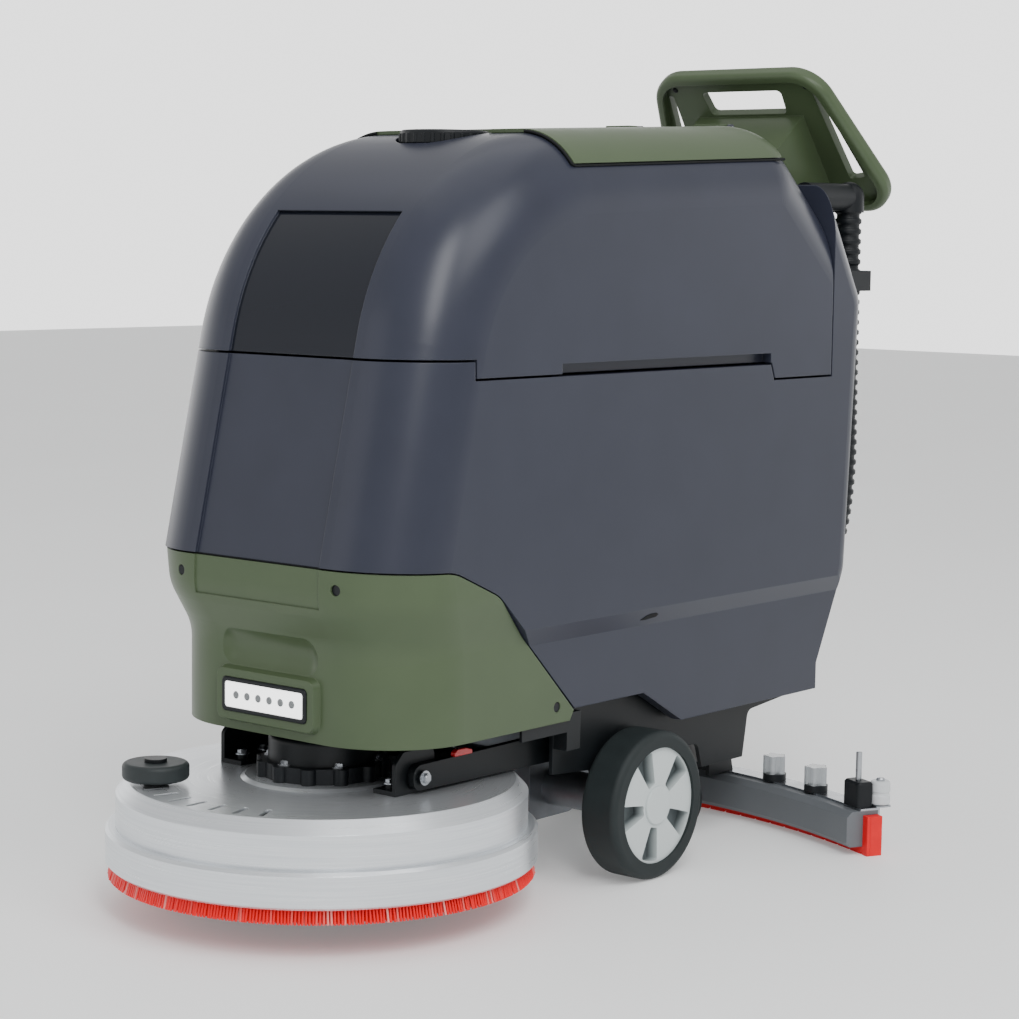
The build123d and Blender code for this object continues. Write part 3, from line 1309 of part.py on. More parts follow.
def drive_paddle():
    """Drive paddle behind the handle's top bar: a round bar with a finger flap, on stub pins in two ears."""
    bar = cross_pin((-PADDLE_HALF, PADDLE_HALF), PADDLE_DOWN, PADDLE_OUT, PADDLE_BAR / 2)
    bar += block((-PADDLE_HALF, PADDLE_HALF), (PADDLE_DOWN, PADDLE_DOWN + PADDLE_FLAP),
                 (PADDLE_OUT - PADDLE_SHEET / 2, PADDLE_OUT + PADDLE_SHEET / 2))
    pin_end = PADDLE_HALF + SEAT_GAP + PADDLE_EAR
    return handle_plane() * (bar + cross_pin((-pin_end, pin_end), PADDLE_DOWN, PADDLE_OUT, PADDLE_PIN_R))


# Batteries and vacuum
def battery_cases():
    """Two battery boxes with lids, hollow for their plates, and terminal posts."""
    foot = DECK_PLATE_TOP + WALL
    solids = []
    for station in BATTERY_STATIONS:
        half_x = BATTERY_LONG / 2
        half_y = BATTERY_WIDE / 2
        case = block((-half_x, half_x), (station - half_y, station + half_y), (foot, foot + BATTERY_TALL))
        case = fillet(case.edges().filter_by(Axis.Z), 6)
        case -= battery_core(station)
        for x in (-half_x + 30, half_x - 30):
            case += post(x, station, (foot + BATTERY_TALL - 1, foot + BATTERY_TALL + 14), 8)
        solids.append(case)
    return solids


def battery_core(station):
    """Plate pack of one battery, which fills its case."""
    foot = DECK_PLATE_TOP + WALL + BATTERY_SKIN
    half_x = BATTERY_LONG / 2 - BATTERY_SKIN
    half_y = BATTERY_WIDE / 2 - BATTERY_SKIN
    return block((-half_x, half_x), (station - half_y, station + half_y), (foot, foot + PLATES_TALL))


def vacuum_motor():
    """Vacuum motor with its fan housing in the foot of the column."""
    foot = DECK_PLATE_TOP + WALL
    motor = post(0, VACUUM_Y, (foot, foot + 50), VACUUM_R)
    motor = fillet(motor.edges().group_by(Axis.Z)[-1], 8)
    return motor + post(0, VACUUM_Y, (foot + 40, foot + 130), VACUUM_R - 14)


# Suction hose
def hose_path():
    """Route of the suction hose: straight runs joined by large tangent arcs."""
    points = [Vector(*point) for point in HOSE_POINTS]
    radii = []
    for before, here, after in zip(points, points[1:], points[2:]):
        turn = (here - before).get_angle(after - here)
        shorter = min((here - before).length, (after - here).length)
        radii.append(0.45 * shorter / tan(radians(turn) / 2))
    print("hose radii", [round(radius) for radius in radii])
    return FilletPolyline(*points, radius=radii)


def suction_hose():
    """Ribbed hose with its bore, from the squeegee port up the back of the column."""
    path = hose_path()
    ribs = int(path.length / HOSE_RIB_PITCH)
    sections = []
    for rib in range(ribs):
        for share, radius in ((0.0, HOSE_R - 3), (0.2, HOSE_R), (0.6, HOSE_R), (0.8, HOSE_R - 3)):
            sections.append(hose_section(path, (rib + share) / ribs, radius))
    sections.append(hose_section(path, 1, HOSE_R - 3))
    outside = loft(sections, ruled=True)
    steps = 2 * ribs
    bore = loft([hose_section(path, step / steps, HOSE_BORE_R) for step in range(steps + 1)], ruled=True)
    return outside - bore


def hose_section(path, share, radius):
    """Circle across the hose at a share of its length, with a steady X axis."""
    along = path.tangent_at(share)
    across = Vector(1, 0, 0) - along * along.X
    return Plane(origin=path.position_at(share), x_dir=across, z_dir=along) * Circle(radius)


def hose_elbow():
    """Black elbow from the hose's top end into the column."""
    x, y, z = HOSE_POINTS[-1]
    elbow = post(x, y, (z, z + 22), HOSE_R + 3)
    elbow += Pos(x, y, z + 22) * Sphere(HOSE_R + 3)
    elbow += long_pin(x, (COLUMN_BACK_Y - 90, y), z + 22, HOSE_R)
    return elbow - column()


def hose_clip():
    """Clip block on the column that holds the hose."""
    below, above = HOSE_POINTS[-3], HOSE_POINTS[-2]
    share = (CLIP_Z - below[2]) / (above[2] - below[2])
    x, y = (below[axis] + share * (above[axis] - below[axis]) for axis in (0, 1))
    low, high = CLIP_Z - CLIP_TALL / 2, CLIP_Z + CLIP_TALL / 2
    clip = block((x - HOSE_R - 7, x + HOSE_R + 7), (COLUMN_BACK_Y - 40, y + HOSE_R + 8), (low, high))
    clip = fillet(clip.edges().filter_by(Axis.Z), 5)
    clip -= post(x, y, (low - 1, high + 1), HOSE_R + 3 * SEAT_GAP)
    return clip - column()


def cover_screws():
    """Sunk screw heads of the front cover: two on the band and one low on each side."""
    left = [band_screw(SCREW_HEAD, SCREW_R), side_screw(SCREW_HEAD, SCREW_R)]
    return left + [mirror(screw, about=Plane.YZ) for screw in left]


def main():
    """Build every node and write it."""
    os.makedirs("parts", exist_ok=True)
    save("chassis_frame", chassis_frame())
    save("solution_tank", solution_tank())
    save("front_cover", front_cover())
    save("cover_screws", Compound(children=cover_screws()))
    save("headlight_bezel", headlight_bezel())
    chips = led_chips()
    lens = lens_block(COVER_FACE_Y - LIGHT_DEPTH + LENS_SINK, SEAT_GAP)
    for chip in chips:
        lens -= chip
    save("headlight_lens", lens)
    save("headlight_leds", Compound(children=chips))
    save("battery_cases", Compound(children=battery_cases()))
    save("battery_cores", Compound(children=[battery_core(station) for station in BATTERY_STATIONS]))
    save("drive_unit", drive_unit())
    save("vacuum_motor", vacuum_motor())
    save("lift_actuator", lift_actuator())
    save("handle_console", handle_console())
    save("control_panel", control_panel())
    save("suction_hose", suction_hose())
    save("hose_fittings", Compound(children=[hose_elbow(), hose_clip()]))
    save("tilt_hinge_pins", tilt_pins())
    for name, piece in (("half_shaft", half_shaft()), ("tyre", tyre()), ("wheel_hub", wheel_hub()),
                        ("caster_fork", caster_fork()), ("caster_wheel", caster_wheel())):
        save(name + "_left", piece)
        save(name + "_right", mirror(piece, about=Plane.YZ))
    save("lift_arms", lift_arms())
    save("lift_rod", lift_rod())
    save("deck_shroud", deck_shroud())
    save("deck_rim", deck_rim())
    save("deck_yoke", deck_yoke())
    save("motor_ring", motor_ring())
    save("gear_motor", gear_motor())
    save("guide_post", guide_post())
    save("guide_roller", guide_roller())
    save("brush_disc", brush_disc())
    save("brush_bristles", brush_bristles())
    save("tow_bracket", tow_bracket())
    save("squeegee_body", squeegee_body())
    save("front_blade", front_blade())
    save("rear_blade", rear_blade())
    save("blade_strap", blade_strap())
    save("end_clamps", Compound(children=end_clamps()))
    for number, angle in enumerate(KNOB_ANGLES, start=1):
        save("squeegee_knob_%d" % number, squeegee_knob(angle))
    save("recovery_tank", recovery_tank())
    save("float_cage", float_cage())
    save("tank_lid", tank_lid())
    save("lid_hinge_pins", lid_pins())
    save("tank_cap", tank_cap())
    controls = (
        ("key_switch", key_switch()), ("stop_button", stop_button()), ("speed_dial", speed_dial()),
        ("brush_button", push_button()), ("water_button", push_button()), ("vacuum_button", push_button()),
    )
    for (name, piece), (u, down, _) in zip(controls, control_sockets()):
        save(name, on_panel(u, down, piece))
    save("drive_paddle", drive_paddle())


main()
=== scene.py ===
import logging
import math
from dataclasses import dataclass
from enum import Enum
from functools import cached_property
from typing import Any, Iterable, Mapping, Sequence

import bmesh
import bpy
from mathutils import Matrix, Vector


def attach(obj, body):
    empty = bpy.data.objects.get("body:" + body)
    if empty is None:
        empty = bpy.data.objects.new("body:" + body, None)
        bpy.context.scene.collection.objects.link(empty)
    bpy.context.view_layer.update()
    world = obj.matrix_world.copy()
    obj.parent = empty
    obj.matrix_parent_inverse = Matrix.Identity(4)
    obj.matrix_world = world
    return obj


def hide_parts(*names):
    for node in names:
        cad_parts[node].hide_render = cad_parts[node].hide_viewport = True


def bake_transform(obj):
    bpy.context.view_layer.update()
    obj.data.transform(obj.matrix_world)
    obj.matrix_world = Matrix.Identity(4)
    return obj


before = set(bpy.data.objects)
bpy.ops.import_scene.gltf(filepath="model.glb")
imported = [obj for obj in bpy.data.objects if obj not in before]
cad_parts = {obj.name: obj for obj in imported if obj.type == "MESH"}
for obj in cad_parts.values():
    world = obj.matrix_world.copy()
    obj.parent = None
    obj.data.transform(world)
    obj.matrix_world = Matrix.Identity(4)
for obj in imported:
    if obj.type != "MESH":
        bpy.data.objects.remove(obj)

LOG = logging.getLogger("floor_scrubber")
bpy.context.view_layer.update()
Point = tuple[float, float, float]
Profile = Sequence[tuple[float, float]]
Tree = bpy.types.NodeTree
Node = bpy.types.Node
Source = bpy.types.NodeSocket | Node
Piece = bpy.types.Object

MM = 0.001
SIDES = (-1, 1)
# Upright axes of the brush deck and of the squeegee's curve
DECK_Y = -0.384
SQUEEGEE_Y = -0.461
# A point of the tank's sloping top and its slope
TANK_TOP_Y, TANK_TOP_Z, TANK_TOP_SLOPE = 0.337, 1.006, math.radians(2.66)
# Sunk gloss panel on the recovery tank's nose, coloured dark as a painted reflection of the dark room
PANEL_HALF, PANEL_BACK_Y, PANEL_FOOT_Z, PANEL_TOP_Z = 0.1068, -0.30, 0.7, 0.8795
PANEL_REFLECTION_COLOUR, PANEL_ROUGHNESS = "#191C24", 0.13
# A wheel hub's outer face and the floor of its pockets, from the middle plane, between which painted shade darkens the
# pockets
HUB_FACE_X, HUB_POCKET_X = 0.2455, 0.231
COAT_ROUGHNESS = 0.08
GRAIN_STRENGTH = 0.6
# Cosines between the true and the rounded normal where edge wear starts and where it is full
WEAR_START, WEAR_FULL = 0.995, 0.86
WEAR_PATCH_MM = 14.0
# Turning marks of about 0.4 mm are drawn at 2.5 mm so that they show.
TURNING_MM = 2.5
TURNING_DRIFT = 0.004


def linear(hex_colour: str) -> tuple[float, float, float, float]:
    """Turn an sRGB hex colour into the linear colour that shaders take.

    Args:
        hex_colour: Colour as "#RRGGBB".

    Returns:
        Linear red, green, blue and an alpha of 1.
    """
    parts = (int(hex_colour[place:place + 2], 16) / 255 for place in (1, 3, 5))
    red, green, blue = (c / 12.92 if c <= 0.04045 else ((c + 0.055) / 1.055) ** 2.4 for c in parts)
    return red, green, blue, 1.0


def add_node(tree: Tree, kind: str, values: Mapping[Any, Any] | None = None,
             links: Mapping[Any, Source] | None = None, **settings: Any) -> Node:
    """Add a node with its settings, socket values and links.

    Args:
        tree: Shader or geometry tree.
        kind: Node type.
        values: Constant values by input socket.
        links: Sources by input socket; a node stands for its first output.
        **settings: Properties of the node.

    Returns:
        The new node.
    """
    node = tree.nodes.new(kind)
    for name, value in settings.items():
        setattr(node, name, value)
    for socket, value in (values or {}).items():
        node.inputs[socket].default_value = value
    for socket, source in (links or {}).items():
        tree.links.new(source.outputs[0] if isinstance(source, Node) else source, node.inputs[socket])
    return node


class Tone(Enum):
    """Ways a finish varies its colour over a piece."""

    MOTTLE = "variation"
    NOSE_PANEL = "nose_panel"
    TURNED = "turned"
    POCKET_SHADE = "pocket"
    STRAND = "strand"


@dataclass(frozen=True)
class Finish:
    """One real material with its colour, gloss and surface grain."""

    name: str
    base: str
    shade: str
    roughness: float
    metallic: float = 0.0
    ior: float = 1.5
    grain_mm: float = 2.0
    grain_depth_mm: float = 0.02
    mottle_mm: float = 60.0
    rough_spread: float = 0.06
    edge_mm: float = 1.2
    wear: str | None = None
    wear_share: float = 0.35
    coat: float = 0.0
    specular: float = 0.5
    transmission: float = 0.0
    emission: float = 0.0
    tone: Tone = Tone.MOTTLE

    @cached_property
    def material(self) -> bpy.types.Material:
        """Node material of the finish, made at its first use.

        Returns:
            A material named for what it is.
        """
        material = bpy.data.materials.new(self.name)
        material.use_nodes = True
        tree = material.node_tree
        tree.nodes.clear()
        place = add_node(tree, "ShaderNodeTexCoord").outputs["Object"]
        values: dict[str, Any] = {"Metallic": self.metallic, "Specular IOR Level": self.specular, "IOR": self.ior}
        if self.coat:
            values |= {"Coat Weight": self.coat, "Coat Roughness": COAT_ROUGHNESS}
        if self.transmission:
            values["Transmission Weight"] = self.transmission
        # Painted glow on the headlight lens; the floor's even glow keeps it as light as the room.
        if self.emission:
            values |= {"Emission Color": linear(self.base), "Emission Strength": self.emission}
        colour, rough = self.colours(tree, place)
        bevel = add_node(tree, "ShaderNodeBevel", {"Radius": self.edge_mm * MM}, samples=4)
        if self.wear:
            colour = self.worn(tree, place, bevel, colour)
        grain = add_node(tree, "ShaderNodeTexNoise", {"Scale": 1 / (self.grain_mm * MM), "Detail": 3.0},
                         {"Vector": place})
        bump = add_node(tree, "ShaderNodeBump", {"Strength": GRAIN_STRENGTH, "Distance": self.grain_depth_mm * MM},
                        {"Height": grain, "Normal": bevel})
        shader = add_node(tree, "ShaderNodeBsdfPrincipled", values,
                          {"Base Color": colour, "Roughness": rough, "Normal": bump})
        add_node(tree, "ShaderNodeOutputMaterial", links={"Surface": shader})
        return material

    def colours(self, tree: Tree, place: Source) -> tuple[Source, Source]:
        """Add the nodes for colour and roughness.

        Args:
            tree: The material's tree.
            place: Object coordinates.

        Returns:
            Sources with the colour and the roughness.
        """
        if self.tone is Tone.TURNED:
            variation = self.turned_marks(tree, place)
        # Painted highlights: the pale strands, read from their stored attribute.
        elif self.tone is Tone.STRAND:
            variation = add_node(tree, "ShaderNodeAttribute", attribute_name="painted_glint").outputs["Fac"]
        # Painted shade: the hub's colour darkens towards the floor of its pockets.
        elif self.tone is Tone.POCKET_SHADE:
            variation = self.pocket_painted_shade(tree, place)
        else:
            variation = add_node(tree, "ShaderNodeTexNoise", {"Scale": 1 / (self.mottle_mm * MM), "Detail": 4.0},
                              {"Vector": place})
        blend = add_node(tree, "ShaderNodeMix", {6: linear(self.base), 7: linear(self.shade)}, {0: variation},
                         data_type="RGBA").outputs[2]
        low, high = self.roughness - self.rough_spread, self.roughness + self.rough_spread
        rough = add_node(tree, "ShaderNodeMapRange", {"To Min": low, "To Max": high}, {"Value": variation})
        # Painted reflection: the nose panel's darker colour stands in for the dark room it reflects; its lower
        # roughness is real gloss.
        if self.tone is Tone.NOSE_PANEL:
            mask = self.nose_panel(tree, place)
            blend = add_node(tree, "ShaderNodeMix", {7: linear(PANEL_REFLECTION_COLOUR)}, {0: mask, 6: blend},
                             data_type="RGBA").outputs[2]
            rough = add_node(tree, "ShaderNodeMix", {3: PANEL_ROUGHNESS}, {0: mask, 2: rough}, data_type="FLOAT")
        return blend, rough

    def worn(self, tree: Tree, place: Source, bevel: Node, colour: Source) -> Source:
        """Rub the colour lighter along edges, unevenly.

        Args:
            tree: The material's tree.
            place: Object coordinates.
            bevel: The node whose normal turns over near edges.
            colour: Colour before wear.

        Returns:
            Source with the worn colour.
        """
        true = add_node(tree, "ShaderNodeNewGeometry").outputs["Normal"]
        same = add_node(tree, "ShaderNodeVectorMath", links={0: bevel, 1: true},
                        operation="DOT_PRODUCT").outputs["Value"]
        edge = add_node(tree, "ShaderNodeMapRange",
                        {"From Min": WEAR_START, "From Max": WEAR_FULL, "To Max": self.wear_share},
                        {"Value": same})
        patches = add_node(tree, "ShaderNodeTexNoise", {"Scale": 1 / (WEAR_PATCH_MM * MM), "Detail": 3.0},
                           {"Vector": place})
        rub = add_node(tree, "ShaderNodeMath", links={0: edge, 1: patches}, operation="MULTIPLY")
        return add_node(tree, "ShaderNodeMix", {7: linear(self.wear)}, {0: rub, 6: colour}, data_type="RGBA").outputs[2]

    def nose_panel(self, tree: Tree, place: Source) -> Source:
        """Mask of the sunk gloss panel on the recovery tank's nose, which carries a painted dark reflection.

        Args:
            tree: The material's tree.
            place: Object coordinates.

        Returns:
            Source that is 1 on the panel and 0 elsewhere.
        """
        axes = add_node(tree, "ShaderNodeSeparateXYZ", links={0: place})
        across = add_node(tree, "ShaderNodeMath", links={0: axes.outputs["X"]}, operation="ABSOLUTE")
        mask = add_node(tree, "ShaderNodeMath", {1: PANEL_HALF}, {0: across}, operation="LESS_THAN")
        for axis, limit, side in (("Z", PANEL_TOP_Z, "LESS_THAN"), ("Z", PANEL_FOOT_Z, "GREATER_THAN"),
                                  ("Y", PANEL_BACK_Y, "LESS_THAN")):
            test = add_node(tree, "ShaderNodeMath", {1: limit}, {0: axes.outputs[axis]}, operation=side)
            mask = add_node(tree, "ShaderNodeMath", links={0: mask, 1: test}, operation="MULTIPLY")
        return mask

    def turned_marks(self, tree: Tree, place: Source) -> Source:
        """Fine rings left by turning, round the brush deck's upright axis.

        Args:
            tree: The material's tree.
            place: Object coordinates.

        Returns:
            Source with the ring pattern from 0 to 1.
        """
        centred = add_node(tree, "ShaderNodeMapping", {"Location": (0.0, -DECK_Y, 0.0)}, {"Vector": place})
        axes = add_node(tree, "ShaderNodeSeparateXYZ", links={0: centred})
        flat = add_node(tree, "ShaderNodeCombineXYZ", links={"X": axes.outputs["X"], "Y": axes.outputs["Y"]})
        radius = add_node(tree, "ShaderNodeVectorMath", links={0: flat}, operation="LENGTH").outputs["Value"]
        turn = add_node(tree, "ShaderNodeMath", links={0: axes.outputs["Y"], 1: axes.outputs["X"]}, operation="ARCTAN2")
        slow = add_node(tree, "ShaderNodeMath", {1: TURNING_DRIFT}, {0: turn}, operation="MULTIPLY")
        rings = add_node(tree, "ShaderNodeCombineXYZ", links={"X": radius, "Y": axes.outputs["Z"], "Z": slow})
        return add_node(tree, "ShaderNodeTexNoise", {"Scale": 1 / (TURNING_MM * MM), "Detail": 2.0}, {"Vector": rings})

    def pocket_painted_shade(self, tree: Tree, place: Source) -> Source:
        """Painted shade that darkens the sunk pockets of a wheel hub.

        Args:
            tree: The material's tree.
            place: Object coordinates.

        Returns:
            Source that is 0 on the outer face and 1 on the pocket floor.
        """
        axes = add_node(tree, "ShaderNodeSeparateXYZ", links={0: place})
        across = add_node(tree, "ShaderNodeMath", links={0: axes.outputs["X"]}, operation="ABSOLUTE")
        return add_node(tree, "ShaderNodeMapRange", {"From Min": HUB_FACE_X, "From Max": HUB_POCKET_X},
                        {"Value": across})


# Rotomoulded polyethylene: a smooth waxy skin with a slight orange peel and broad soft highlights; its sunk nose panel
# is coloured dark as a painted reflection.
TANK = Finish("rotomoulded_polyethylene_charcoal", "#292C38", "#303340", 0.31, ior=1.51, specular=0.32, grain_mm=3.0,
              grain_depth_mm=0.03, mottle_mm=90, rough_spread=0.03, edge_mm=1.8, wear="#565B66", tone=Tone.NOSE_PANEL)
# Moulded ABS: satin olive green, a little paler where edges are handled.
GREEN = Finish("moulded_abs_olive_green", "#435138", "#4B5940", 0.36, ior=1.53, specular=0.3, grain_mm=1.6,
               grain_depth_mm=0.025, mottle_mm=70, edge_mm=1.8, wear="#6F7F60")
# Moulded black polypropylene, matt with a fine spark texture.
BLACK = Finish("moulded_polypropylene_black", "#0E1114", "#15191D", 0.46, ior=1.49, specular=0.3, grain_mm=0.9,
               grain_depth_mm=0.03, mottle_mm=30, edge_mm=0.8, wear="#33383D")
# Powder-coated steel sheet with its pebbled skin.
COATED = Finish("powder_coated_steel_black", "#0D1012", "#14181B", 0.42, specular=0.3, grain_mm=1.4,
                grain_depth_mm=0.04, mottle_mm=40, edge_mm=0.8, wear="#3E4449", wear_share=0.5)
# Spun and turned aluminium sheet with concentric tool marks.
SPUN = Finish("turned_aluminium", "#E9ECEF", "#CDD2D7", 0.3, metallic=0.75, grain_mm=1.0, grain_depth_mm=0.008,
              rough_spread=0.08, edge_mm=1.5, tone=Tone.TURNED)
# Zinc-plated steel, bright with a faint drag.
ZINC = Finish("zinc_plated_steel", "#BFC2C6", "#A3A7AC", 0.28, metallic=1.0, grain_mm=0.8, grain_depth_mm=0.01,
              mottle_mm=12, edge_mm=0.5)
# Cast aluminium under grey paint: an even low sheen, paler where edges are rubbed.
CAST_GREY = Finish("painted_cast_aluminium_grey", "#63676B", "#6B6F73", 0.5, specular=0.3, grain_mm=1.3,
                   grain_depth_mm=0.05, mottle_mm=35, edge_mm=1.0, wear="#8A8D92", wear_share=0.5)
# Die-cast aluminium left bare: dull silver with a fine sandy skin.
DIE_CAST = Finish("die_cast_aluminium", "#8D9196", "#777B80", 0.45, metallic=0.9, grain_mm=1.2, grain_depth_mm=0.04,
                  mottle_mm=25, edge_mm=0.8)
# Gum rubber with a dull bloom.
GUM = Finish("gum_rubber_red", "#EC101A", "#D20D17", 0.48, ior=1.52, specular=0.3, grain_mm=1.1, grain_depth_mm=0.03,
             mottle_mm=18, edge_mm=0.6)
# Extruded nylon filament, red, with some strands painted pale as highlights glinting between the strands.
NYLON = Finish("nylon_filament_red", "#EC101A", "#F0B7AE", 0.34, ior=1.53, specular=0.3, grain_mm=0.7,
               grain_depth_mm=0.01, edge_mm=0.3, tone=Tone.STRAND)
# Solid tyre rubber, grey-black with scuffs.
TYRE = Finish("solid_rubber_black", "#1A2122", "#252C2D", 0.62, ior=1.52, specular=0.3, grain_mm=1.5,
              grain_depth_mm=0.06, mottle_mm=22, edge_mm=1.2, wear="#3C4545", wear_share=0.4)
# Extruded EPDM rubber, matt black, of the plugs and of the seam beads whose black is painted shadow.
EPDM = Finish("extruded_epdm_rubber_black", "#0B0D0F", "#121517", 0.7, specular=0.25, grain_mm=1.0,
              grain_depth_mm=0.02, mottle_mm=12, edge_mm=0.4)
# Moulded nylon wheel centre in light grey, with painted shade darkening its pockets.
HUB = Finish("moulded_nylon_light_grey", "#C2CACA", "#626A6C", 0.42, ior=1.53, grain_mm=1.2, grain_depth_mm=0.03,
             edge_mm=0.8, tone=Tone.POCKET_SHADE)
# Moulded polypropylene in near-white grey, waxy.
PALE = Finish("moulded_polypropylene_pale_grey", "#D3D7D8", "#C6CACC", 0.4, ior=1.49, grain_mm=1.2,
              grain_depth_mm=0.02, mottle_mm=12, edge_mm=0.6)
# Cast polyurethane of the rollers: dark grey with a soft sheen.
URETHANE = Finish("cast_polyurethane_grey", "#24292A", "#2F3536", 0.5, ior=1.51, specular=0.3, grain_mm=1.4,
                  grain_depth_mm=0.03, mottle_mm=16, edge_mm=0.8)
# Injection-moulded clear polycarbonate: glassy, a little grey in its depth.
CLEAR = Finish("clear_polycarbonate", "#C4C9CC", "#B4B9BD", 0.1, ior=1.585, transmission=0.6, rough_spread=0.03,
               grain_mm=2.0, grain_depth_mm=0.01, mottle_mm=10, edge_mm=0.6)
# Frosted polycarbonate lens, white, with a painted glow that keeps it white where it would fall into shade.
LENS = Finish("frosted_polycarbonate_white", "#FDFDFD", "#F2F4F5", 0.25, ior=1.585, emission=2.0, grain_mm=1.5,
              grain_depth_mm=0.02, mottle_mm=12, edge_mm=0.6, coat=0.5)
# Screen-printed enamel ink, white and slightly raised.
INK = Finish("screen_printed_ink_white", "#E8EAEB", "#DADDDF", 0.5, grain_mm=0.6, grain_depth_mm=0.01,
             mottle_mm=4, edge_mm=0.1)
# Moulded silicone of the push buttons: grey and semi-matt.
SILICONE = Finish("moulded_silicone_grey", "#8F959A", "#858B90", 0.5, ior=1.43, grain_mm=1.0, grain_depth_mm=0.02,
                  mottle_mm=8, edge_mm=0.5)
# Gloss red ABS of the stop button and the release tabs.
SIGNAL = Finish("moulded_abs_signal_red", "#C4181D", "#B81419", 0.22, ior=1.53, grain_mm=1.0, grain_depth_mm=0.01,
                mottle_mm=10, edge_mm=0.6, coat=0.3)
# Cast epoxy domes over the light chips: grey with a wet gloss.
RESIN = Finish("cast_epoxy_resin_grey", "#7C8082", "#606466", 0.16, ior=1.55, grain_mm=1.0, grain_depth_mm=0.01,
               mottle_mm=4, edge_mm=0.3, coat=0.6)
# Sealed concrete floor: pale, smooth and nearly even, lit a little from within so that it stays as light as the room.
CONCRETE = Finish("sealed_concrete_pale", "#F1F2F2", "#ECEDED", 0.6, grain_mm=30, grain_depth_mm=0.02,
                  mottle_mm=600, emission=0.22)

FINISH_NODES: dict[Finish, tuple[str, ...]] = {
    TANK: ("solution_tank", "recovery_tank"),
    GREEN: ("front_cover", "tank_lid", "handle_console"),
    COATED: ("chassis_frame", "lift_arms", "deck_yoke", "tow_bracket", "gear_motor", "guide_post"),
    BLACK: ("cover_screws", "end_clamps", "headlight_bezel", "battery_cases", "vacuum_motor", "lift_actuator",
            "control_panel", "hose_fittings", "suction_hose", "motor_ring", "brush_disc", "float_cage", "tank_cap",
            "speed_dial", "drive_paddle"),
    ZINC: ("lift_rod", "blade_strap", "tilt_hinge_pins", "lid_hinge_pins", "half_shaft_left", "half_shaft_right",
           "key_switch", "caster_fork_left", "caster_fork_right"),
    LENS: ("headlight_lens",),
    RESIN: ("headlight_leds",),
    DIE_CAST: ("battery_cores", "drive_unit"),
    TYRE: ("tyre_left", "tyre_right"),
    HUB: ("wheel_hub_left", "wheel_hub_right"),
    URETHANE: ("caster_wheel_left", "caster_wheel_right", "guide_roller"),
    SPUN: ("deck_shroud", "deck_rim"),
    NYLON: ("brush_bristles",),
    CAST_GREY: ("squeegee_body",),
    GUM: ("front_blade", "rear_blade"),
    SIGNAL: ("stop_button",),
    SILICONE: ("brush_button", "water_button", "vacuum_button"),
    CLEAR: ("squeegee_knob_1", "squeegee_knob_2", "squeegee_knob_3", "squeegee_knob_4"),
}


def dress_nodes() -> None:
    """Give every CAD node its material."""
    for finish, names in FINISH_NODES.items():
        for name in names:
            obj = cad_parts[name]
            if not obj.material_slots:
                obj.data.materials.append(finish.material)
            for slot in obj.material_slots:
                slot.material = finish.material


def new_object(name: str, data: bpy.types.ID) -> Piece:
    """Put a mesh, curve, light or camera into the scene at the origin.

    Args:
        name: Name of the object.
        data: What it shows; a mesh is already in place.

    Returns:
        The new object.
    """
    obj = bpy.data.objects.new(name, data)
    bpy.context.scene.collection.objects.link(obj)
    return obj


def loft(name: str, rings: Sequence[Sequence[Point]], closed: bool = False) -> Piece:
    """Draw a skin over rings of corners and shut it at both ends.

    Args:
        name: Name of the piece.
        rings: Corners of each ring in order, as many in every ring.
        closed: True where the last ring joins the first instead.

    Returns:
        The new object, its faces outward.
    """
    shape = bmesh.new()
    rows = [[shape.verts.new(corner) for corner in ring] for ring in rings]
    for one, two in zip(rows, rows[1:] + rows[:1] if closed else rows[1:]):
        for corner in range(len(one)):
            following = (corner + 1) % len(one)
            shape.faces.new((one[corner], one[following], two[following], two[corner]))
    if not closed:
        shape.faces.new(rows[0])
        shape.faces.new(rows[-1])
    bmesh.ops.recalc_face_normals(shape, faces=shape.faces)
    mesh = bpy.data.meshes.new(name)
    shape.to_mesh(mesh)
    shape.free()
    return new_object(name, mesh)


def settle(obj: Piece, tree: Tree | None = None, inputs: Mapping[str, Any] | None = None) -> Piece:
    """Run an object's modifiers and keep the result as its plain mesh.

    Args:
        obj: Object to settle.
        tree: Geometry tree to run on it, if any.
        inputs: Values of the tree's named inputs.

    Returns:
        The same object with a plain mesh and no modifiers.
    """
    if tree is not None:
        modifier = obj.modifiers.new("shape", "NODES")
        modifier.node_group = tree
        for item in tree.interface.items_tree:
            if item.item_type == "SOCKET" and item.in_out == "INPUT" and item.name in (inputs or {}):
                modifier[item.identifier] = inputs[item.name]
    graph = bpy.context.evaluated_depsgraph_get()
    mesh = bpy.data.meshes.new_from_object(obj.evaluated_get(graph), preserve_all_data_layers=True, depsgraph=graph)
    obj.modifiers.clear()
    obj.data = mesh
    return obj


def geometry_tree(name: str, sizes: Iterable[str]) -> tuple[Tree, Node]:
    """Start a geometry tree with named sizes as inputs.

    Args:
        name: Name of the tree.
        sizes: Names of its number inputs.

    Returns:
        The tree and its input node.
    """
    tree = bpy.data.node_groups.new(name, "GeometryNodeTree")
    tree.interface.new_socket("Geometry", in_out="INPUT", socket_type="NodeSocketGeometry")
    for size in sizes:
        tree.interface.new_socket(size, in_out="INPUT", socket_type="NodeSocketFloat")
    tree.interface.new_socket("Geometry", in_out="OUTPUT", socket_type="NodeSocketGeometry")
    return tree, add_node(tree, "NodeGroupInput")


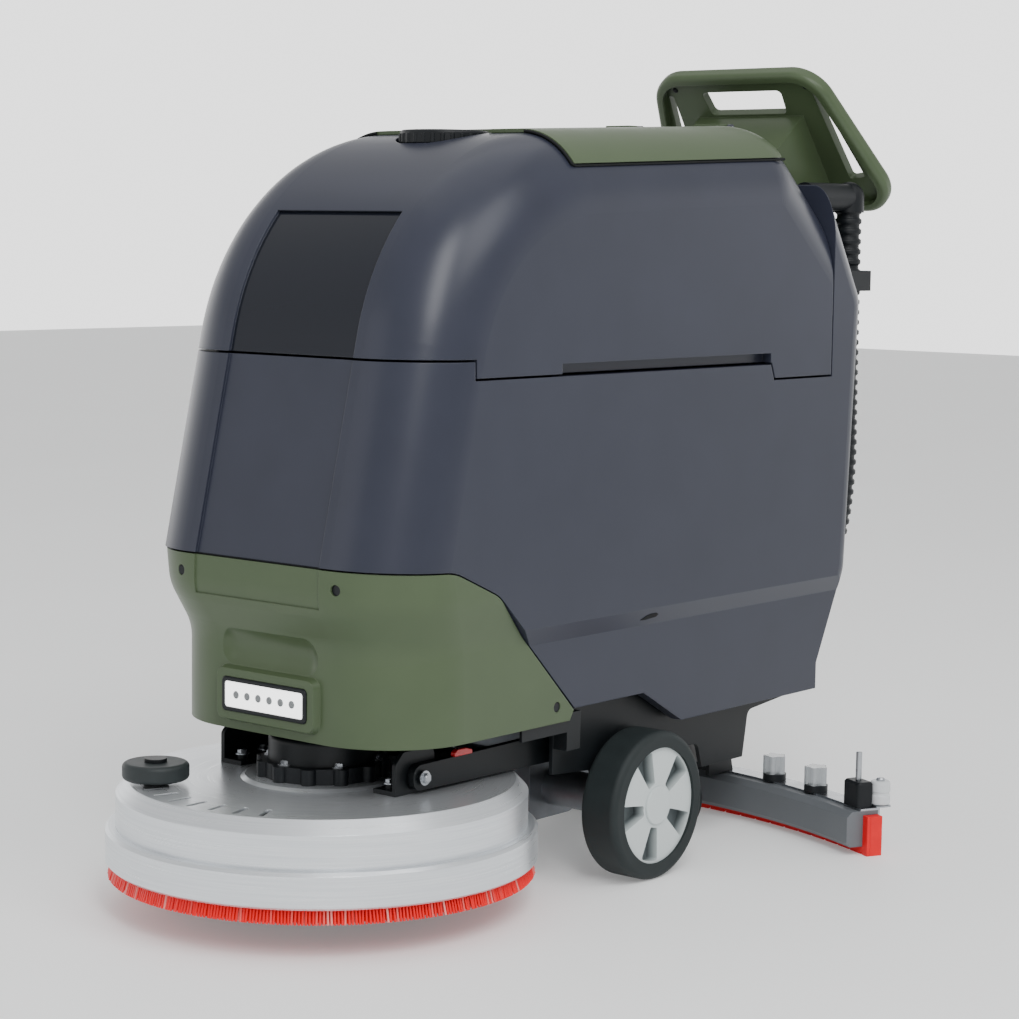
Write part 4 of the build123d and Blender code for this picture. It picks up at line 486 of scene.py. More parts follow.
def end_tree(tree: Tree, shape: Source, finish: Finish) -> None:
    """End a geometry tree: real meshes with their material.

    Args:
        tree: The tree.
        shape: Source with the instances or mesh.
        finish: Finish of all of it.
    """
    real = add_node(tree, "GeometryNodeRealizeInstances", links={0: shape})
    dressed = add_node(tree, "GeometryNodeSetMaterial", {"Material": finish.material}, {"Geometry": real})
    add_node(tree, "NodeGroupOutput", links={0: dressed})


def join(pieces: Sequence[Piece], name: str) -> Piece:
    """Merge plain meshes into one object.

    Args:
        pieces: Objects at the origin.
        name: Name of the result.

    Returns:
        The merged object.
    """
    with bpy.context.temp_override(active_object=pieces[0], selected_editable_objects=list(pieces)):
        bpy.ops.object.join()
    pieces[0].name = name
    pieces[0].data.name = name
    return pieces[0]


def lathe(name: str, profile: Profile, steps: int, closed: bool = False) -> Piece:
    """Turn a profile round the upright axis.

    Args:
        name: Name of the piece.
        profile: Radius and height of each point.
        steps: Points round the axis.
        closed: True where the last point joins the first, as in a ring.

    Returns:
        The turned piece, centred on the axis.
    """
    turns = [math.tau * step / steps for step in range(steps)]
    return loft(name, [[(r * math.cos(turn), r * math.sin(turn), z) for turn in turns] for r, z in profile], closed)


def soften(obj: Piece, width: float, segments: int = 2) -> Piece:
    """Round the sharp edges of a piece.

    Args:
        obj: Piece to soften.
        width: Width of the rounding in metres.
        segments: Steps across the rounding.

    Returns:
        The same piece with a plain mesh.
    """
    bevel = obj.modifiers.new("soft_edges", "BEVEL")
    bevel.width = width
    bevel.segments = segments
    bevel.limit_method = "ANGLE"
    return settle(obj)


def prism(name: str, foot: Sequence[Point], run: Point) -> Piece:
    """Straight prism on a flat outline.

    Args:
        name: Name of the piece.
        foot: Corners of the outline in order.
        run: Way and length that the outline is drawn out.

    Returns:
        The prism.
    """
    return loft(name, [foot, [Vector(corner) + Vector(run) for corner in foot]])


@dataclass
class SuctionHose:
    """Ribbed hose from the squeegee's port up the back of the column."""

    radius: float = 0.020
    rib_pitch: float = 0.015
    rib_depth: float = 0.003
    steps_per_rib: int = 10
    crest: float = 0.45
    route: Sequence[Point] = (
        (0.0, 0.391, 0.113), (0.0, 0.391, 0.160), (0.012, 0.432, 0.205), (0.055, 0.505, 0.240),
        (0.108, 0.560, 0.305), (0.146, 0.580, 0.395), (0.163, 0.575, 0.500), (0.166, 0.567, 0.610),
        (0.164, 0.569, 0.730), (0.165, 0.566, 0.832), (0.165, 0.566, 0.892),
    )
    bend_end: Point = (0.033, 0.468, 0.222)

    def centre_line(self) -> bpy.types.Mesh:
        """Smooth line along the route, as a chain of edges.

        Returns:
            Mesh with one point every few millimetres.
        """
        curve = bpy.data.curves.new("hose_line", "CURVE")
        curve.dimensions = "3D"
        curve.resolution_u = 24
        spline = curve.splines.new("NURBS")
        spline.points.add(len(self.route) - 1)
        for point, place in zip(spline.points, self.route):
            point.co = (*place, 1.0)
        spline.order_u = 3
        spline.use_endpoint_u = True
        line = new_object("hose_line", curve)
        graph = bpy.context.evaluated_depsgraph_get()
        mesh = bpy.data.meshes.new_from_object(line.evaluated_get(graph), depsgraph=graph)
        bpy.data.objects.remove(line)
        return mesh

    def rib_tree(self) -> Tree:
        """Tree that wraps a ribbed skin round a line.

        Returns:
            The geometry tree.
        """
        tree, inlet = geometry_tree("hose_ribs", ("Radius", "Rib Pitch", "Rib Depth"))
        line = add_node(tree, "GeometryNodeMeshToCurve", links={0: inlet.outputs["Geometry"]})
        even = add_node(tree, "GeometryNodeResampleCurve", {"Length": self.rib_pitch / self.steps_per_rib},
                        {"Curve": line}, mode="LENGTH")
        along = add_node(tree, "GeometryNodeSplineParameter").outputs["Length"]
        ribs = add_node(tree, "ShaderNodeMath", links={0: along, 1: inlet.outputs["Rib Pitch"]}, operation="DIVIDE")
        turn = add_node(tree, "ShaderNodeMath", {1: math.tau}, {0: ribs}, operation="MULTIPLY")
        wave = add_node(tree, "ShaderNodeMath", links={0: turn}, operation="COSINE")
        flat = add_node(tree, "ShaderNodeMapRange", {"From Min": -self.crest, "From Max": self.crest},
                        {"Value": wave}, interpolation_type="SMOOTHSTEP")
        groove = add_node(tree, "ShaderNodeMath", links={0: flat, 1: inlet.outputs["Rib Depth"]}, operation="MULTIPLY")
        size = add_node(tree, "ShaderNodeMath", links={0: inlet.outputs["Radius"], 1: groove}, operation="SUBTRACT")
        ring = add_node(tree, "GeometryNodeCurvePrimitiveCircle", {"Resolution": 32, "Radius": 1.0})
        skin = add_node(tree, "GeometryNodeCurveToMesh", {"Fill Caps": True},
                        {"Curve": even, "Profile Curve": ring, "Scale": size})
        smooth = add_node(tree, "GeometryNodeSetShadeSmooth", links={0: skin})
        end_tree(tree, smooth, BLACK)
        return tree

    def build(self) -> None:
        line = self.centre_line()
        hose = new_object("ribbed_suction_hose", line)
        settle(hose, self.rib_tree(), {"Radius": self.radius, "Rib Pitch": self.rib_pitch, "Rib Depth": self.rib_depth})
        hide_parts("suction_hose")
        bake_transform(hose)


@dataclass
class BrushRing:
    """Rings of nylon strands under the brush deck, held in a red collar."""

    root_z: float = 0.0625
    tip_z: float = 0.044
    rings: Sequence[tuple[float, int, float]] = (
        (0.2650, 400, 0.0055), (0.2600, 390, 0.0050), (0.2540, 380, 0.0040), (0.2460, 360, 0.0030),
        (0.2360, 330, 0.0020), (0.2220, 300, 0.0010), (0.2050, 270, 0.0),
    )
    strand_r: float = 0.0016
    sway: float = 0.05
    pale_from: float = 0.86
    pale_most: float = 0.6
    glint_seed: int = 40
    collar: Profile = (
        (0.2480, 0.0710), (0.2640, 0.0660), (0.2660, 0.0630), (0.2655, 0.0595), (0.2600, 0.0585), (0.2000, 0.0620),
        (0.2000, 0.0700),
    )
    collar_steps: int = 160

    def collar_ring(self) -> Piece:
        """Turned collar that the strands are set in.

        Returns:
            The collar, centred on the axis at the strands' roots.
        """
        ring = lathe("brush_collar", [(r, z - self.root_z) for r, z in self.collar], self.collar_steps, closed=True)
        ring.data.materials.append(NYLON.material)
        return ring

    def strand_tree(self, count: int, seed: int) -> Tree:
        """Tree for one ring of leaning strands.

        Args:
            count: Strands in the ring.
            seed: Seed of their small differences.

        Returns:
            The geometry tree.
        """
        tree, inlet = geometry_tree(f"strands_{seed}", ("Ring Radius", "Lean", "Length", "Strand Radius"))
        ring = add_node(tree, "GeometryNodeMeshCircle", {"Vertices": count}, {"Radius": inlet.outputs["Ring Radius"]})
        thick = inlet.outputs["Strand Radius"]
        strand = add_node(tree, "GeometryNodeMeshCone", {"Vertices": 5, "Side Segments": 2},
                          {"Radius Top": thick, "Radius Bottom": thick, "Depth": inlet.outputs["Length"]})
        hang = add_node(tree, "GeometryNodeTransform", {"Rotation": (math.pi, 0.0, 0.0)}, {"Geometry": strand})
        place = add_node(tree, "GeometryNodeInputPosition")
        outward = add_node(tree, "ShaderNodeVectorMath", links={0: place}, operation="NORMALIZE")
        spread = add_node(tree, "FunctionNodeRandomValue",
                          {0: (-self.sway, -self.sway, 0.0), 1: (self.sway, self.sway, 0.0), "Seed": seed},
                          data_type="FLOAT_VECTOR")
        lean = add_node(tree, "ShaderNodeVectorMath", links={0: outward, "Scale": inlet.outputs["Lean"]},
                        operation="SCALE")
        down = add_node(tree, "ShaderNodeVectorMath", {1: (0.0, 0.0, -1.0)}, {0: lean}, operation="ADD")
        aim = add_node(tree, "ShaderNodeVectorMath", links={0: down, 1: spread}, operation="ADD")
        back = add_node(tree, "ShaderNodeVectorMath", {"Scale": -1.0}, {0: aim}, operation="SCALE")
        turned = add_node(tree, "FunctionNodeAlignRotationToVector", links={"Vector": back}, axis="Z")
        copies = add_node(tree, "GeometryNodeInstanceOnPoints",
                          links={"Points": ring, "Instance": hang, "Rotation": turned})
        # Painted highlights: a share of strands is coloured pale to stand in for light glinting between the strands.
        chance = add_node(tree, "FunctionNodeRandomValue", {2: 0.0, 3: 1.0, "Seed": seed + self.glint_seed},
                          data_type="FLOAT")
        pale = add_node(tree, "ShaderNodeMapRange",
                        {"From Min": self.pale_from, "From Max": 1.0, "To Max": self.pale_most},
                        {"Value": chance.outputs[1]})
        marked = add_node(tree, "GeometryNodeStoreNamedAttribute", {"Name": "painted_glint"},
                          {"Geometry": copies, "Value": pale}, data_type="FLOAT", domain="INSTANCE")
        end_tree(tree, marked, NYLON)
        return tree

    def build(self) -> None:
        """Make the rings as one piece that turns with the brush."""
        drop = self.root_z - self.tip_z
        meshes = []
        for seed, (radius, count, reach) in enumerate(self.rings, start=1):
            ring = new_object(f"strand_ring_{seed}", bpy.data.meshes.new("strands"))
            length = math.hypot(drop, reach)
            settle(ring, self.strand_tree(count, seed),
                   {"Ring Radius": radius, "Lean": reach / drop, "Length": length, "Strand Radius": self.strand_r})
            meshes.append(ring)
        brush = join([*meshes, self.collar_ring()], "nylon_brush_ring")
        brush.data.transform(Matrix.Translation((0.0, DECK_Y, self.root_z)))
        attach(brush, "brush")
        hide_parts("brush_bristles")
        LOG.info("brush ring, %d strands", sum(count for _, count, _ in self.rings))


def squeegee_point(radius: float, turn: float, z: float) -> Point:
    """Point at a radius and turn round the axis of the squeegee's curve."""
    return radius * math.sin(turn), SQUEEGEE_Y + radius * math.cos(turn), z


@dataclass
class SqueegeeBlades:
    """Two curved rubber blades of the squeegee."""

    half_angle: float = math.radians(27.4)
    front_r: float = 0.853
    rear_r: float = 0.872
    thick: float = 0.005
    roof_z: float = 0.056
    notch_pitch: float = 0.030
    notch_wide: float = 0.004
    notch_tall: float = 0.003
    notch_taper: float = 0.92
    edge: float = 0.0006
    end_edge: float = 0.0008
    end_angle: float = math.radians(0.8)
    end_lap: float = 0.001

    def band(self, name: str, radius: float, notched: bool) -> Piece:
        """Curved strip, with slots along its foot where water passes.

        Args:
            name: Name of the piece.
            radius: Inner radius.
            notched: True for the slotted front blade.

        Returns:
            The blade, its edges softened.
        """
        stations: list[tuple[float, float]] = []
        steps = round(2 * self.half_angle * radius / self.notch_pitch)
        pitch = 2 * self.half_angle / steps
        wide = self.notch_wide / radius / 2
        for step in range(steps):
            start = -self.half_angle + step * pitch
            middle = start + pitch / 2
            foot = self.notch_tall if notched else 0.0
            stations += [(start, 0.0), (middle - wide, 0.0), (middle - wide * self.notch_taper, foot),
                         (middle + wide * self.notch_taper, foot), (middle + wide, 0.0)]
        stations.append((self.half_angle, 0.0))
        rings = []
        outer = radius + self.thick
        for turn, foot in stations:
            corners = ((radius, foot), (outer, foot), (outer, self.roof_z), (radius, self.roof_z))
            rings.append([squeegee_point(r, turn, z) for r, z in corners])
        blade = soften(loft(name, rings), self.edge)
        blade.data.materials.append(GUM.material)
        return blade

    def closer(self, side: int) -> Piece:
        """Rear blade's turned-in end, which shuts the suction channel.

        Args:
            side: 1 for the left end and -1 for the right.

        Returns:
            The end piece.
        """
        outer = self.half_angle
        inner = outer - self.end_angle
        near, far = self.front_r + self.thick, self.rear_r + self.end_lap
        corners = ((near, inner), (far, inner), (far, outer), (near, outer))
        foot = [squeegee_point(radius, side * turn, 0.0) for radius, turn in corners]
        end = soften(prism("blade_end", foot, (0.0, 0.0, self.roof_z)), self.end_edge)
        end.data.materials.append(GUM.material)
        return end

    def build(self) -> None:
        """Make both blades and hang them on the squeegee."""
        front = self.band("rubber_front_blade", self.front_r, True)
        rear = join([self.band("rubber_rear_blade", self.rear_r, False), self.closer(-1), self.closer(1)],
                    "rubber_rear_blade")
        for piece, node in ((front, "front_blade"), (rear, "rear_blade")):
            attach(piece, "squeegee")
            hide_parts(node)
            LOG.info("%s", piece.name)


@dataclass
class EndRollers:
    """Wall rollers behind the squeegee's end clamps, and the clamps' bright pins."""

    reach: float = 0.8855
    turn: float = math.radians(26.0)
    seat_z: float = 0.065
    sheet: float = 0.0025
    play: float = 0.0005
    profile: Profile = (
        (0.0040, 0.0), (0.0115, 0.0), (0.0134, 0.0012), (0.0140, 0.0035), (0.0140, 0.0130), (0.0130, 0.0145),
        (0.0130, 0.0175), (0.0140, 0.0190), (0.0140, 0.0300), (0.0134, 0.0323), (0.0115, 0.0335), (0.0040, 0.0335),
    )
    plate_half: float = 0.013
    plate_edge: float = 0.0005
    plate_outline: Profile = (
        (0.8723, -1), (0.8723, 1), (0.8960, 0.9), (0.8990, 0.5), (0.8990, -0.5), (0.8960, -0.9),
    )
    axle_profile: Profile = (
        (0.0038, 0.0), (0.0038, 0.0355), (0.0062, 0.0357), (0.0062, 0.0382), (0.0050, 0.0398), (0.0020, 0.0402),
    )
    pin_reach: float = 0.859
    pin_turn: float = math.radians(25.0)
    pin_profile: Profile = ((0.0043, 0.0362), (0.0043, 0.0755), (0.0034, 0.0764))
    roller_steps: int = 40
    pin_steps: int = 24

    def build(self) -> None:
        """Make both rollers on their foot plates, and the bright sleeves of the clamp pins."""
        rollers, plates, pins = [], [], []
        half = self.plate_half / self.reach
        for side in SIDES:
            roller = lathe("wall_roller", self.profile, self.roller_steps, closed=True)
            corners = [squeegee_point(r, side * (self.turn + way * half), self.seat_z) for r, way in self.plate_outline]
            plate = prism("roller_plate", corners, (0.0, 0.0, self.sheet))
            axle = lathe("roller_axle", self.axle_profile, self.pin_steps)
            pin = lathe("pin_sleeve", self.pin_profile, self.pin_steps)
            for turned, radius, turn, lift in ((roller, self.reach, self.turn, self.sheet + self.play),
                                               (axle, self.reach, self.turn, self.play),
                                               (pin, self.pin_reach, self.pin_turn, 0.0)):
                seat = squeegee_point(radius, side * turn, self.seat_z + lift)
                turned.data.transform(Matrix.Translation(seat))
            rollers.append(roller)
            plates += [soften(plate, self.plate_edge), axle]
            pins.append(pin)
        for pieces, name, finish, slot in ((rollers, "squeegee_wall_rollers", PALE, "clear_plastic"),
                                           (plates, "roller_foot_plates", ZINC, "bright_steel"),
                                           (pins, "clamp_pin_sleeves", ZINC, "bright_steel")):
            piece = join(pieces, name)
            piece.data.materials.append(finish.material)
            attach(piece, "squeegee")
            LOG.info("%s", name)


@dataclass
class SeamShadowBead:
    """Black rubber bead run along one or more lines of a seam; it closes the gap, and its black stands in for the
    shadow in the gap as painted shadow.
    """

    name: str
    body: str
    radius: float
    lines: Sequence[Sequence[Point]]

    def bead_tree(self) -> Tree:
        """Tree that runs a round bead along a line.

        Returns:
            The geometry tree.
        """
        tree, inlet = geometry_tree(self.name + "_run", ("Bead Radius",))
        line = add_node(tree, "GeometryNodeMeshToCurve", links={0: inlet.outputs["Geometry"]})
        ring = add_node(tree, "GeometryNodeCurvePrimitiveCircle", {"Resolution": 10},
                        {"Radius": inlet.outputs["Bead Radius"]})
        bead = add_node(tree, "GeometryNodeCurveToMesh", {"Fill Caps": True}, {"Curve": line, "Profile Curve": ring})
        smooth = add_node(tree, "GeometryNodeSetShadeSmooth", links={0: bead})
        end_tree(tree, smooth, EPDM)
        return tree

    def build(self) -> None:
        """Make the bead on its body."""
        points: list[Point] = []
        edges: list[tuple[int, int]] = []
        for line in self.lines:
            first = len(points)
            points += line
            edges += [(n, n + 1) for n in range(first, len(points) - 1)]
        mesh = bpy.data.meshes.new(self.name)
        mesh.from_pydata(points, edges, [])
        bead = new_object(self.name, mesh)
        settle(bead, self.bead_tree(), {"Bead Radius": self.radius})
        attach(bead, self.body)
        LOG.info("%s", self.name)


def lid_shadow_lines() -> list[list[Point]]:
    """Lower edge of the lid on each side, from its back to its front corner and up over the shoulder, where a black
    bead paints the shadow under the proud lid.

    Returns:
        One line of points for each side.
    """
    front_y, back_y, corner = -0.1540, 0.3270, 0.006
    edge_x, edge_drop, edge_steps = 0.2066, 0.0425, 12
    shoulder_x, shoulder_drop, shoulder_r = 0.121, 0.104, 0.1062
    first, swing, turn_steps = 37.0, 49.0, 15
    lines = []
    for side in SIDES:
        line = []
        for step in range(edge_steps + 1):
            y = back_y + (front_y + corner - back_y) * step / edge_steps
            line.append((side * edge_x, y, tank_top(y) - edge_drop))
        for step in range(turn_steps + 1):
            turn = math.radians(first + swing * step / turn_steps)
            line.append((side * (shoulder_x + shoulder_r * math.cos(turn)), front_y,
                         tank_top(front_y) - shoulder_drop + shoulder_r * math.sin(turn)))
        lines.append(line)
    return lines


def cover_seam_shadow_line() -> list[Point]:
    """Seam between the front cover and the tank, just inside their skins, rising towards the nose, where a black bead
    closes the gap and paints its shade.

    Returns:
        The points from the right side round the front to the left side.
    """
    half, front_y, corner_r = 0.2188, -0.5003, 0.1158
    swing, steps = 84.0, 12
    middle_y, middle_z, rise = -0.392, 0.447, 0.0405
    line = []
    for side in SIDES:
        for step in range(steps + 1):
            turn = math.radians(swing * (step if side > 0 else steps - step) / steps)
            y = front_y + corner_r - corner_r * math.cos(turn)
            z = middle_z - rise * (y - middle_y)
            line.append((side * (half - corner_r + corner_r * math.sin(turn)), y, z))
    return line


def tank_top(y: float) -> float:
    """Height of the tank's sloping top at a place along it."""
    return TANK_TOP_Z + (y - TANK_TOP_Y) * math.tan(TANK_TOP_SLOPE)


@dataclass
class SidePads:
    """Flat moulded pads, one on each side of the machine."""

    name: str
    body: str
    outline: Sequence[Point]
    run: Point
    edge: float
    finish: Finish
    slot: str

    def build(self) -> None:
        """Make both pads as one piece on their body."""
        pads = []
        for side in SIDES:
            foot = [(side * x, y, z) for x, y, z in self.outline]
            run = (side * self.run[0], self.run[1], self.run[2])
            pads.append(soften(prism(self.name, foot, run), self.edge, segments=3))
        piece = join(pads, self.name)
        piece.data.materials.append(self.finish.material)
        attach(piece, self.body)
        LOG.info("%s", self.name)


def side_pads() -> list[SidePads]:
    """Red release tabs on the lift arms and dark plugs on the tank's crease.

    Returns:
        The pads in building order.
    """
    tab_x, plug_x, plug_z, plug_lean = 0.1602, 0.2110, 0.338, 0.5
    tab = [(tab_x, y, z) for y, z in ((-0.322, 0.2030), (-0.322, 0.2085), (-0.317, 0.2120), (-0.300, 0.2120),
                                      (-0.288, 0.2085), (-0.288, 0.2030))]
    plug = [(plug_x + plug_lean * (z - plug_z), y, z) for y, z in (
        (-0.006, 0.3475), (0.004, 0.3525), (0.014, 0.3545), (0.026, 0.3545), (0.031, 0.3525), (0.028, 0.3490),
        (0.006, 0.3470))]
    return [
        SidePads("arm_release_tabs", "lift_arm", tab, (0.008, 0.0, 0.0), 0.0014, SIGNAL, "stop_red"),
        SidePads("tank_crease_plugs", "chassis", plug, (0.0024, 0.0, -0.0012), 0.0005, EPDM, "black_plastic"),
    ]


class Head(Enum):
    """Shapes of the small studs that repeat on the machine."""

    HEX = "hex bolt on a washer"
    DOME = "low dome"
    DOT = "flat dot"


@dataclass
class StudGroup:
    """Studs of one kind on one body."""

    name: str
    body: str
    head: Head
    radius: float
    tall: float
    finish: Finish
    slot: str
    places: Sequence[tuple[Point, Point]]
    stands_for: str | None = None
    washer_share: float = 1.45
    washer_tall: float = 0.0016
    tip_share: float = 0.72
    tip_tall: float = 0.0012

    def head_shape(self, tree: Tree, inlet: Node) -> Source:
        """Add the nodes of one stud, standing on the origin.

        Args:
            tree: Geometry tree.
            inlet: Its input node.

        Returns:
            Source with the stud's mesh.
        """
        radius, tall = inlet.outputs["Radius"], inlet.outputs["Height"]
        if self.head is Head.DOME:
            ball = add_node(tree, "GeometryNodeMeshUVSphere", {"Segments": 20, "Rings": 10, "Radius": 1.0})
            size = add_node(tree, "ShaderNodeCombineXYZ", links={"X": radius, "Y": radius, "Z": tall})
            low = add_node(tree, "GeometryNodeTransform", links={"Geometry": ball, "Scale": size})
            return add_node(tree, "GeometryNodeSetShadeSmooth", links={0: low})
        if self.head is Head.DOT:
            return add_node(tree, "GeometryNodeMeshCylinder", {"Vertices": 16}, {"Radius": radius, "Depth": tall})
        washer_r, tip_r, half = (
            add_node(tree, "ShaderNodeMath", {1: share}, {0: size}, operation="MULTIPLY")
            for share, size in ((self.washer_share, radius), (self.tip_share, radius), (0.5, tall)))
        washer = add_node(tree, "GeometryNodeMeshCylinder", {"Vertices": 24, "Depth": self.washer_tall},
                          {"Radius": washer_r})
        head = add_node(tree, "GeometryNodeMeshCylinder", {"Vertices": 6}, {"Radius": radius, "Depth": tall})
        tip = add_node(tree, "GeometryNodeMeshCylinder", {"Vertices": 16, "Depth": self.tip_tall}, {"Radius": tip_r})
        whole = add_node(tree, "GeometryNodeJoinGeometry", links={0: washer})
        for mesh, height in ((head, half), (tip, tall)):
            lift = add_node(tree, "ShaderNodeCombineXYZ", links={"Z": height})
            raised = add_node(tree, "GeometryNodeTransform", links={"Geometry": mesh, "Translation": lift})
            tree.links.new(raised.outputs[0], whole.inputs[0])
        return whole

    def stud_tree(self) -> Tree:
        """Tree that stands a stud on each point.

        Returns:
            The geometry tree.
        """
        tree, inlet = geometry_tree(self.name + "_studs", ("Radius", "Height"))
        stud = self.head_shape(tree, inlet)
        facing = add_node(tree, "GeometryNodeInputNamedAttribute", {"Name": "facing"}, data_type="FLOAT_VECTOR")
        turned = add_node(tree, "FunctionNodeAlignRotationToVector", links={"Vector": facing}, axis="Z")
        copies = add_node(tree, "GeometryNodeInstanceOnPoints",
                          links={"Points": inlet.outputs["Geometry"], "Instance": stud, "Rotation": turned})
        end_tree(tree, copies, self.finish)
        return tree

    def build(self) -> None:
        """Make the group as one piece on its body."""
        mesh = bpy.data.meshes.new(self.name)
        mesh.from_pydata([place for place, _ in self.places], [], [])
        facing = mesh.attributes.new("facing", "FLOAT_VECTOR", "POINT")
        facing.data.foreach_set("vector", [value for _, way in self.places for value in way])
        piece = new_object(self.name, mesh)
        settle(piece, self.stud_tree(), {"Radius": self.radius, "Height": self.tall})
        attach(piece, self.body)
        if self.stands_for:
            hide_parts(self.stands_for)
        LOG.info("%s, %d studs", self.name, len(self.places))


@dataclass(frozen=True)
class HandlePlane:
    """The sloping plane of the handle and its control panel."""

    top_y: float = 0.494
    top_z: float = 1.100
    fall: float = math.radians(51.7)

    def facing(self) -> Point:
        """Way that the panel faces."""
        return 0.0, math.sin(self.fall), math.cos(self.fall)

    def point(self, across: float, down: float, out: float) -> Point:
        """Place of a point on the plane.

        Args:
            across: Distance to the operator's left.
            down: Distance down the slope from the top edge.
            out: Distance out of the middle plane.

        Returns:
            The point in the machine's frame.
        """
        y = self.top_y + down * math.cos(self.fall) + out * math.sin(self.fall)
        z = self.top_z - down * math.sin(self.fall) + out * math.cos(self.fall)
        return across, y, z


@dataclass
class Studio:
    """Pale floor, soft lights and the camera at the photographed angle."""

    target: Point = (0.13033, -0.17606, 0.50042)
    azimuth: float = math.radians(39.48)
    elevation: float = math.radians(6.27)
    roll: float = math.radians(0.79)
    distance: float = 3.27491
    lens_mm: float = 89.65
    sensor_mm: float = 36.0
    view_depth: float = 50.0
    floor_half: float = 14.0
    room_front: float = 0.72
    room_back: float = 2.2
    glow_turn: tuple[float, float] = (-0.2, 0.9)
    glow_height: tuple[float, float] = (0.40, 0.14)
    lights: Sequence[tuple[str, Point, float, float, float]] = (
        ("key_strip", (2.3, -2.0, 3.0), 0.9, 2.6, 78.0),
        ("shoulder_softbox", (2.7, -0.1, 3.3), 1.8, 1.8, 42.0),
        ("top_softbox", (-0.6, 0.4, 4.2), 3.2, 3.2, 20.0),
        ("front_softbox", (-1.6, -4.0, 1.6), 2.4, 2.4, 14.0),
    )

    def add_camera(self) -> None:
        """Aim the camera as the photograph was taken."""
        right = Vector((math.cos(self.azimuth), math.sin(self.azimuth), 0.0))
        back = Vector((math.sin(self.azimuth) * math.cos(self.elevation),
                       -math.cos(self.azimuth) * math.cos(self.elevation), math.sin(self.elevation)))
        up = back.cross(right)
        level = right * math.cos(self.roll) + up * math.sin(self.roll)
        upright = up * math.cos(self.roll) - right * math.sin(self.roll)
        lens = bpy.data.cameras.new("photo_camera")
        lens.lens = self.lens_mm
        lens.sensor_width = self.sensor_mm
        lens.clip_end = self.view_depth
        camera = new_object("photo_camera", lens)
        turn = Matrix((level, upright, back)).transposed().to_4x4()
        camera.matrix_world = Matrix.Translation(Vector(self.target) + back * self.distance) @ turn
        bpy.context.scene.camera = camera

    def add_lights(self) -> None:
        """Hang the softboxes and set a pale room."""
        for name, place, wide, tall, power in self.lights:
            lamp = bpy.data.lights.new(name, "AREA")
            lamp.shape = "RECTANGLE"
            lamp.size = wide
            lamp.size_y = tall
            lamp.energy = power
            obj = new_object(name, lamp)
            obj.location = place
            obj.rotation_euler = (Vector(self.target) - Vector(place)).to_track_quat("-Z", "Y").to_euler()
        self.add_room()

    def add_room(self) -> None:
        """Surround the machine with a pale room that is brightest behind it."""
        world = bpy.data.worlds.new("pale_room")
        world.use_nodes = True
        tree = world.node_tree
        way = add_node(tree, "ShaderNodeTexCoord").outputs["Generated"]
        behind = (-math.sin(self.azimuth), math.cos(self.azimuth), 0.0)
        share = add_node(tree, "ShaderNodeVectorMath", {1: behind}, {0: way}, operation="DOT_PRODUCT").outputs["Value"]
        height = add_node(tree, "ShaderNodeSeparateXYZ", links={0: way}).outputs["Z"]
        back, low = (
            add_node(tree, "ShaderNodeMapRange", {"From Min": start, "From Max": full}, {"Value": value},
                     interpolation_type="SMOOTHSTEP")
            for (start, full), value in ((self.glow_turn, share), (self.glow_height, height)))
        glow = add_node(tree, "ShaderNodeMath", links={0: back, 1: low}, operation="MULTIPLY")
        power = add_node(tree, "ShaderNodeMapRange", {"To Min": self.room_front, "To Max": self.room_back},
                         {"Value": glow}).outputs[0]
        tree.nodes["Background"].inputs["Color"].default_value = linear("#FFFFFF")
        tree.links.new(power, tree.nodes["Background"].inputs["Strength"])
        bpy.context.scene.world = world

    def add_floor(self) -> None:
        """Lay a large plain floor."""
        shape = bmesh.new()
        bmesh.ops.create_grid(shape, x_segments=8, y_segments=8, size=self.floor_half)
        mesh = bpy.data.meshes.new("pale_floor")
        shape.to_mesh(mesh)
        shape.free()
        floor = new_object("pale_floor", mesh)
        floor.data.materials.append(CONCRETE.material)

    def build(self) -> None:
        """Set up the whole studio."""
        self.add_camera()
        self.add_lights()
        self.add_floor()


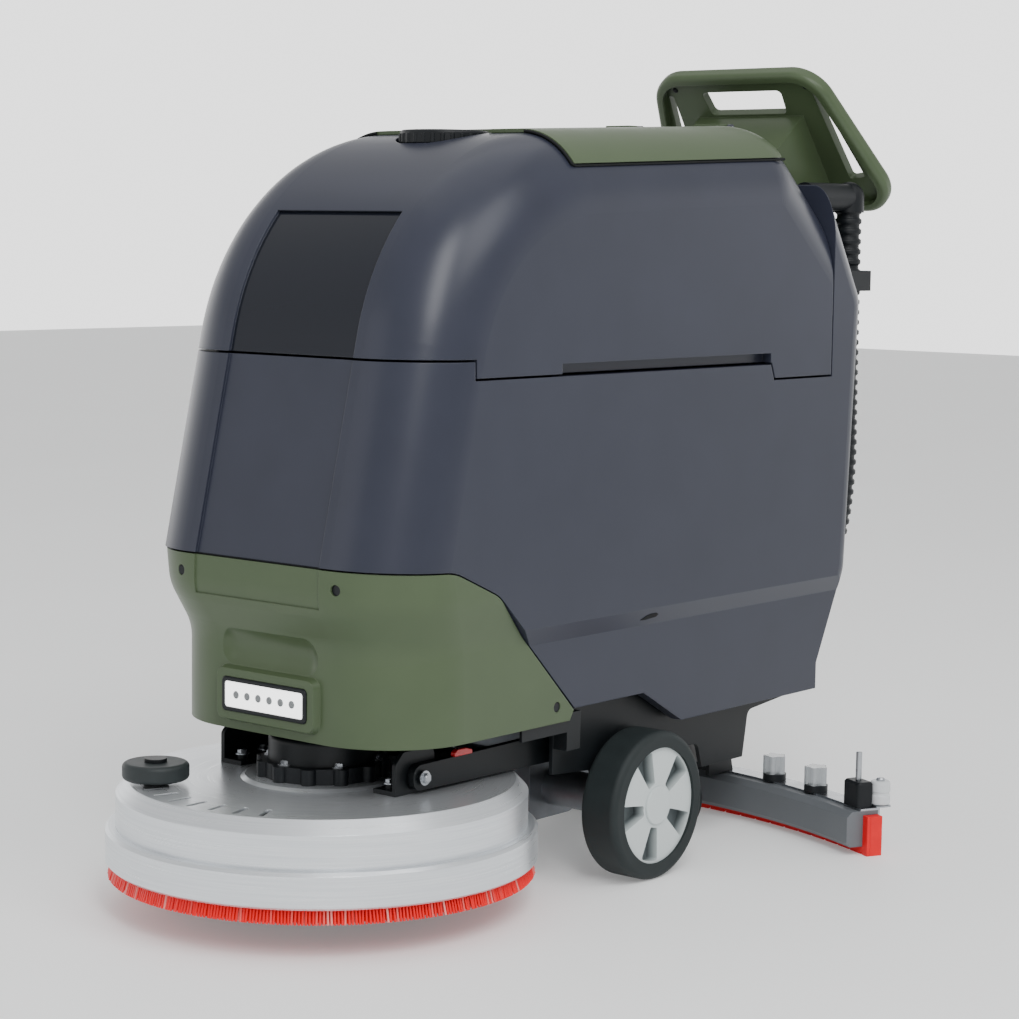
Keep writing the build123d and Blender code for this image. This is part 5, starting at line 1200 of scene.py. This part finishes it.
def stud_groups() -> list[StudGroup]:
    """Bolts, screws, light domes and dial dots, body by body.

    Returns:
        The groups in building order.
    """
    up, left, right, fore = (0.0, 0.0, 1.0), (1.0, 0.0, 0.0), (-1.0, 0.0, 0.0), (0.0, -1.0, 0.0)
    ring_r, ring_z, ring_bolts = 0.068, 0.1895, 6
    deck = []
    for step in range(ring_bolts):
        turn = math.tau * (step + 0.5) / ring_bolts
        deck.append(((ring_r * math.cos(turn), DECK_Y + ring_r * math.sin(turn), ring_z), up))
    yoke_x, yoke_z, ear_x, ear_y, ear_z = 0.130, 0.1775, 0.1695, -0.380, 0.186
    deck += [((side * yoke_x, y, yoke_z), up) for side in SIDES for y in (-0.400, -0.360)]
    deck += [((side * ear_x, ear_y, ear_z), way) for side, way in zip(SIDES, (right, left))]
    tow_x, tow_y, tow_z = 0.074, 0.374, 0.0718
    tow = [((side * tow_x, tow_y, tow_z), up) for side in SIDES]
    handle = HandlePlane()
    under = tuple(-value for value in handle.facing())
    screws = [(handle.point(side * across, down, -0.001), under)
              for side in SIDES for across, down in ((0.1176, 0.0304), (0.1455, 0.2454))]
    light_count, light_pitch, light_y, light_z = 6, 0.01933, -0.4915, 0.277
    lights = [((light_pitch * (step - (light_count - 1) / 2), light_y, light_z), fore) for step in range(light_count)]
    dial_r, dial_down, dial_out = 0.025, 0.150, 0.013
    dot_count, first_dot, dot_step = 11, -135.0, 27.0
    dots = []
    for step in range(dot_count):
        turn = math.radians(first_dot + dot_step * step)
        place = handle.point(dial_r * math.sin(turn), dial_down - dial_r * math.cos(turn), dial_out)
        dots.append((place, handle.facing()))
    return [
        StudGroup("deck_bolts", "deck", Head.HEX, 0.0065, 0.005, ZINC, "bright_steel", deck),
        StudGroup("tow_bolts", "squeegee", Head.HEX, 0.0065, 0.005, ZINC, "bright_steel", tow),
        StudGroup("handle_screws", "chassis", Head.DOME, 0.0045, 0.0022, BLACK, "black_plastic", screws),
        StudGroup("headlight_domes", "chassis", Head.DOME, 0.005, 0.0014, RESIN, "led_chip", lights, "headlight_leds"),
        StudGroup("dial_dots", "chassis", Head.DOT, 0.0012, 0.0004, INK, "lens_plastic", dots),
    ]


def main() -> None:
    """Dress the floor scrubber and set up its studio."""
    logging.basicConfig(level=logging.INFO, format="%(name)s: %(message)s")
    dress_nodes()
    # Black beads painted as the shadow in the gap under the lid and as the shade in the seam above the front cover.
    beads = (SeamShadowBead("lid_shadow_bead", "lid", radius=0.002, lines=lid_shadow_lines()),
             SeamShadowBead("cover_seam_shadow_bead", "chassis", radius=0.0016, lines=[cover_seam_shadow_line()]))
    for item in (Studio(), SuctionHose(), BrushRing(), SqueegeeBlades(), EndRollers(), *beads, *side_pads(),
                 *stud_groups()):
        item.build()


if __name__ == "__main__":
    main()
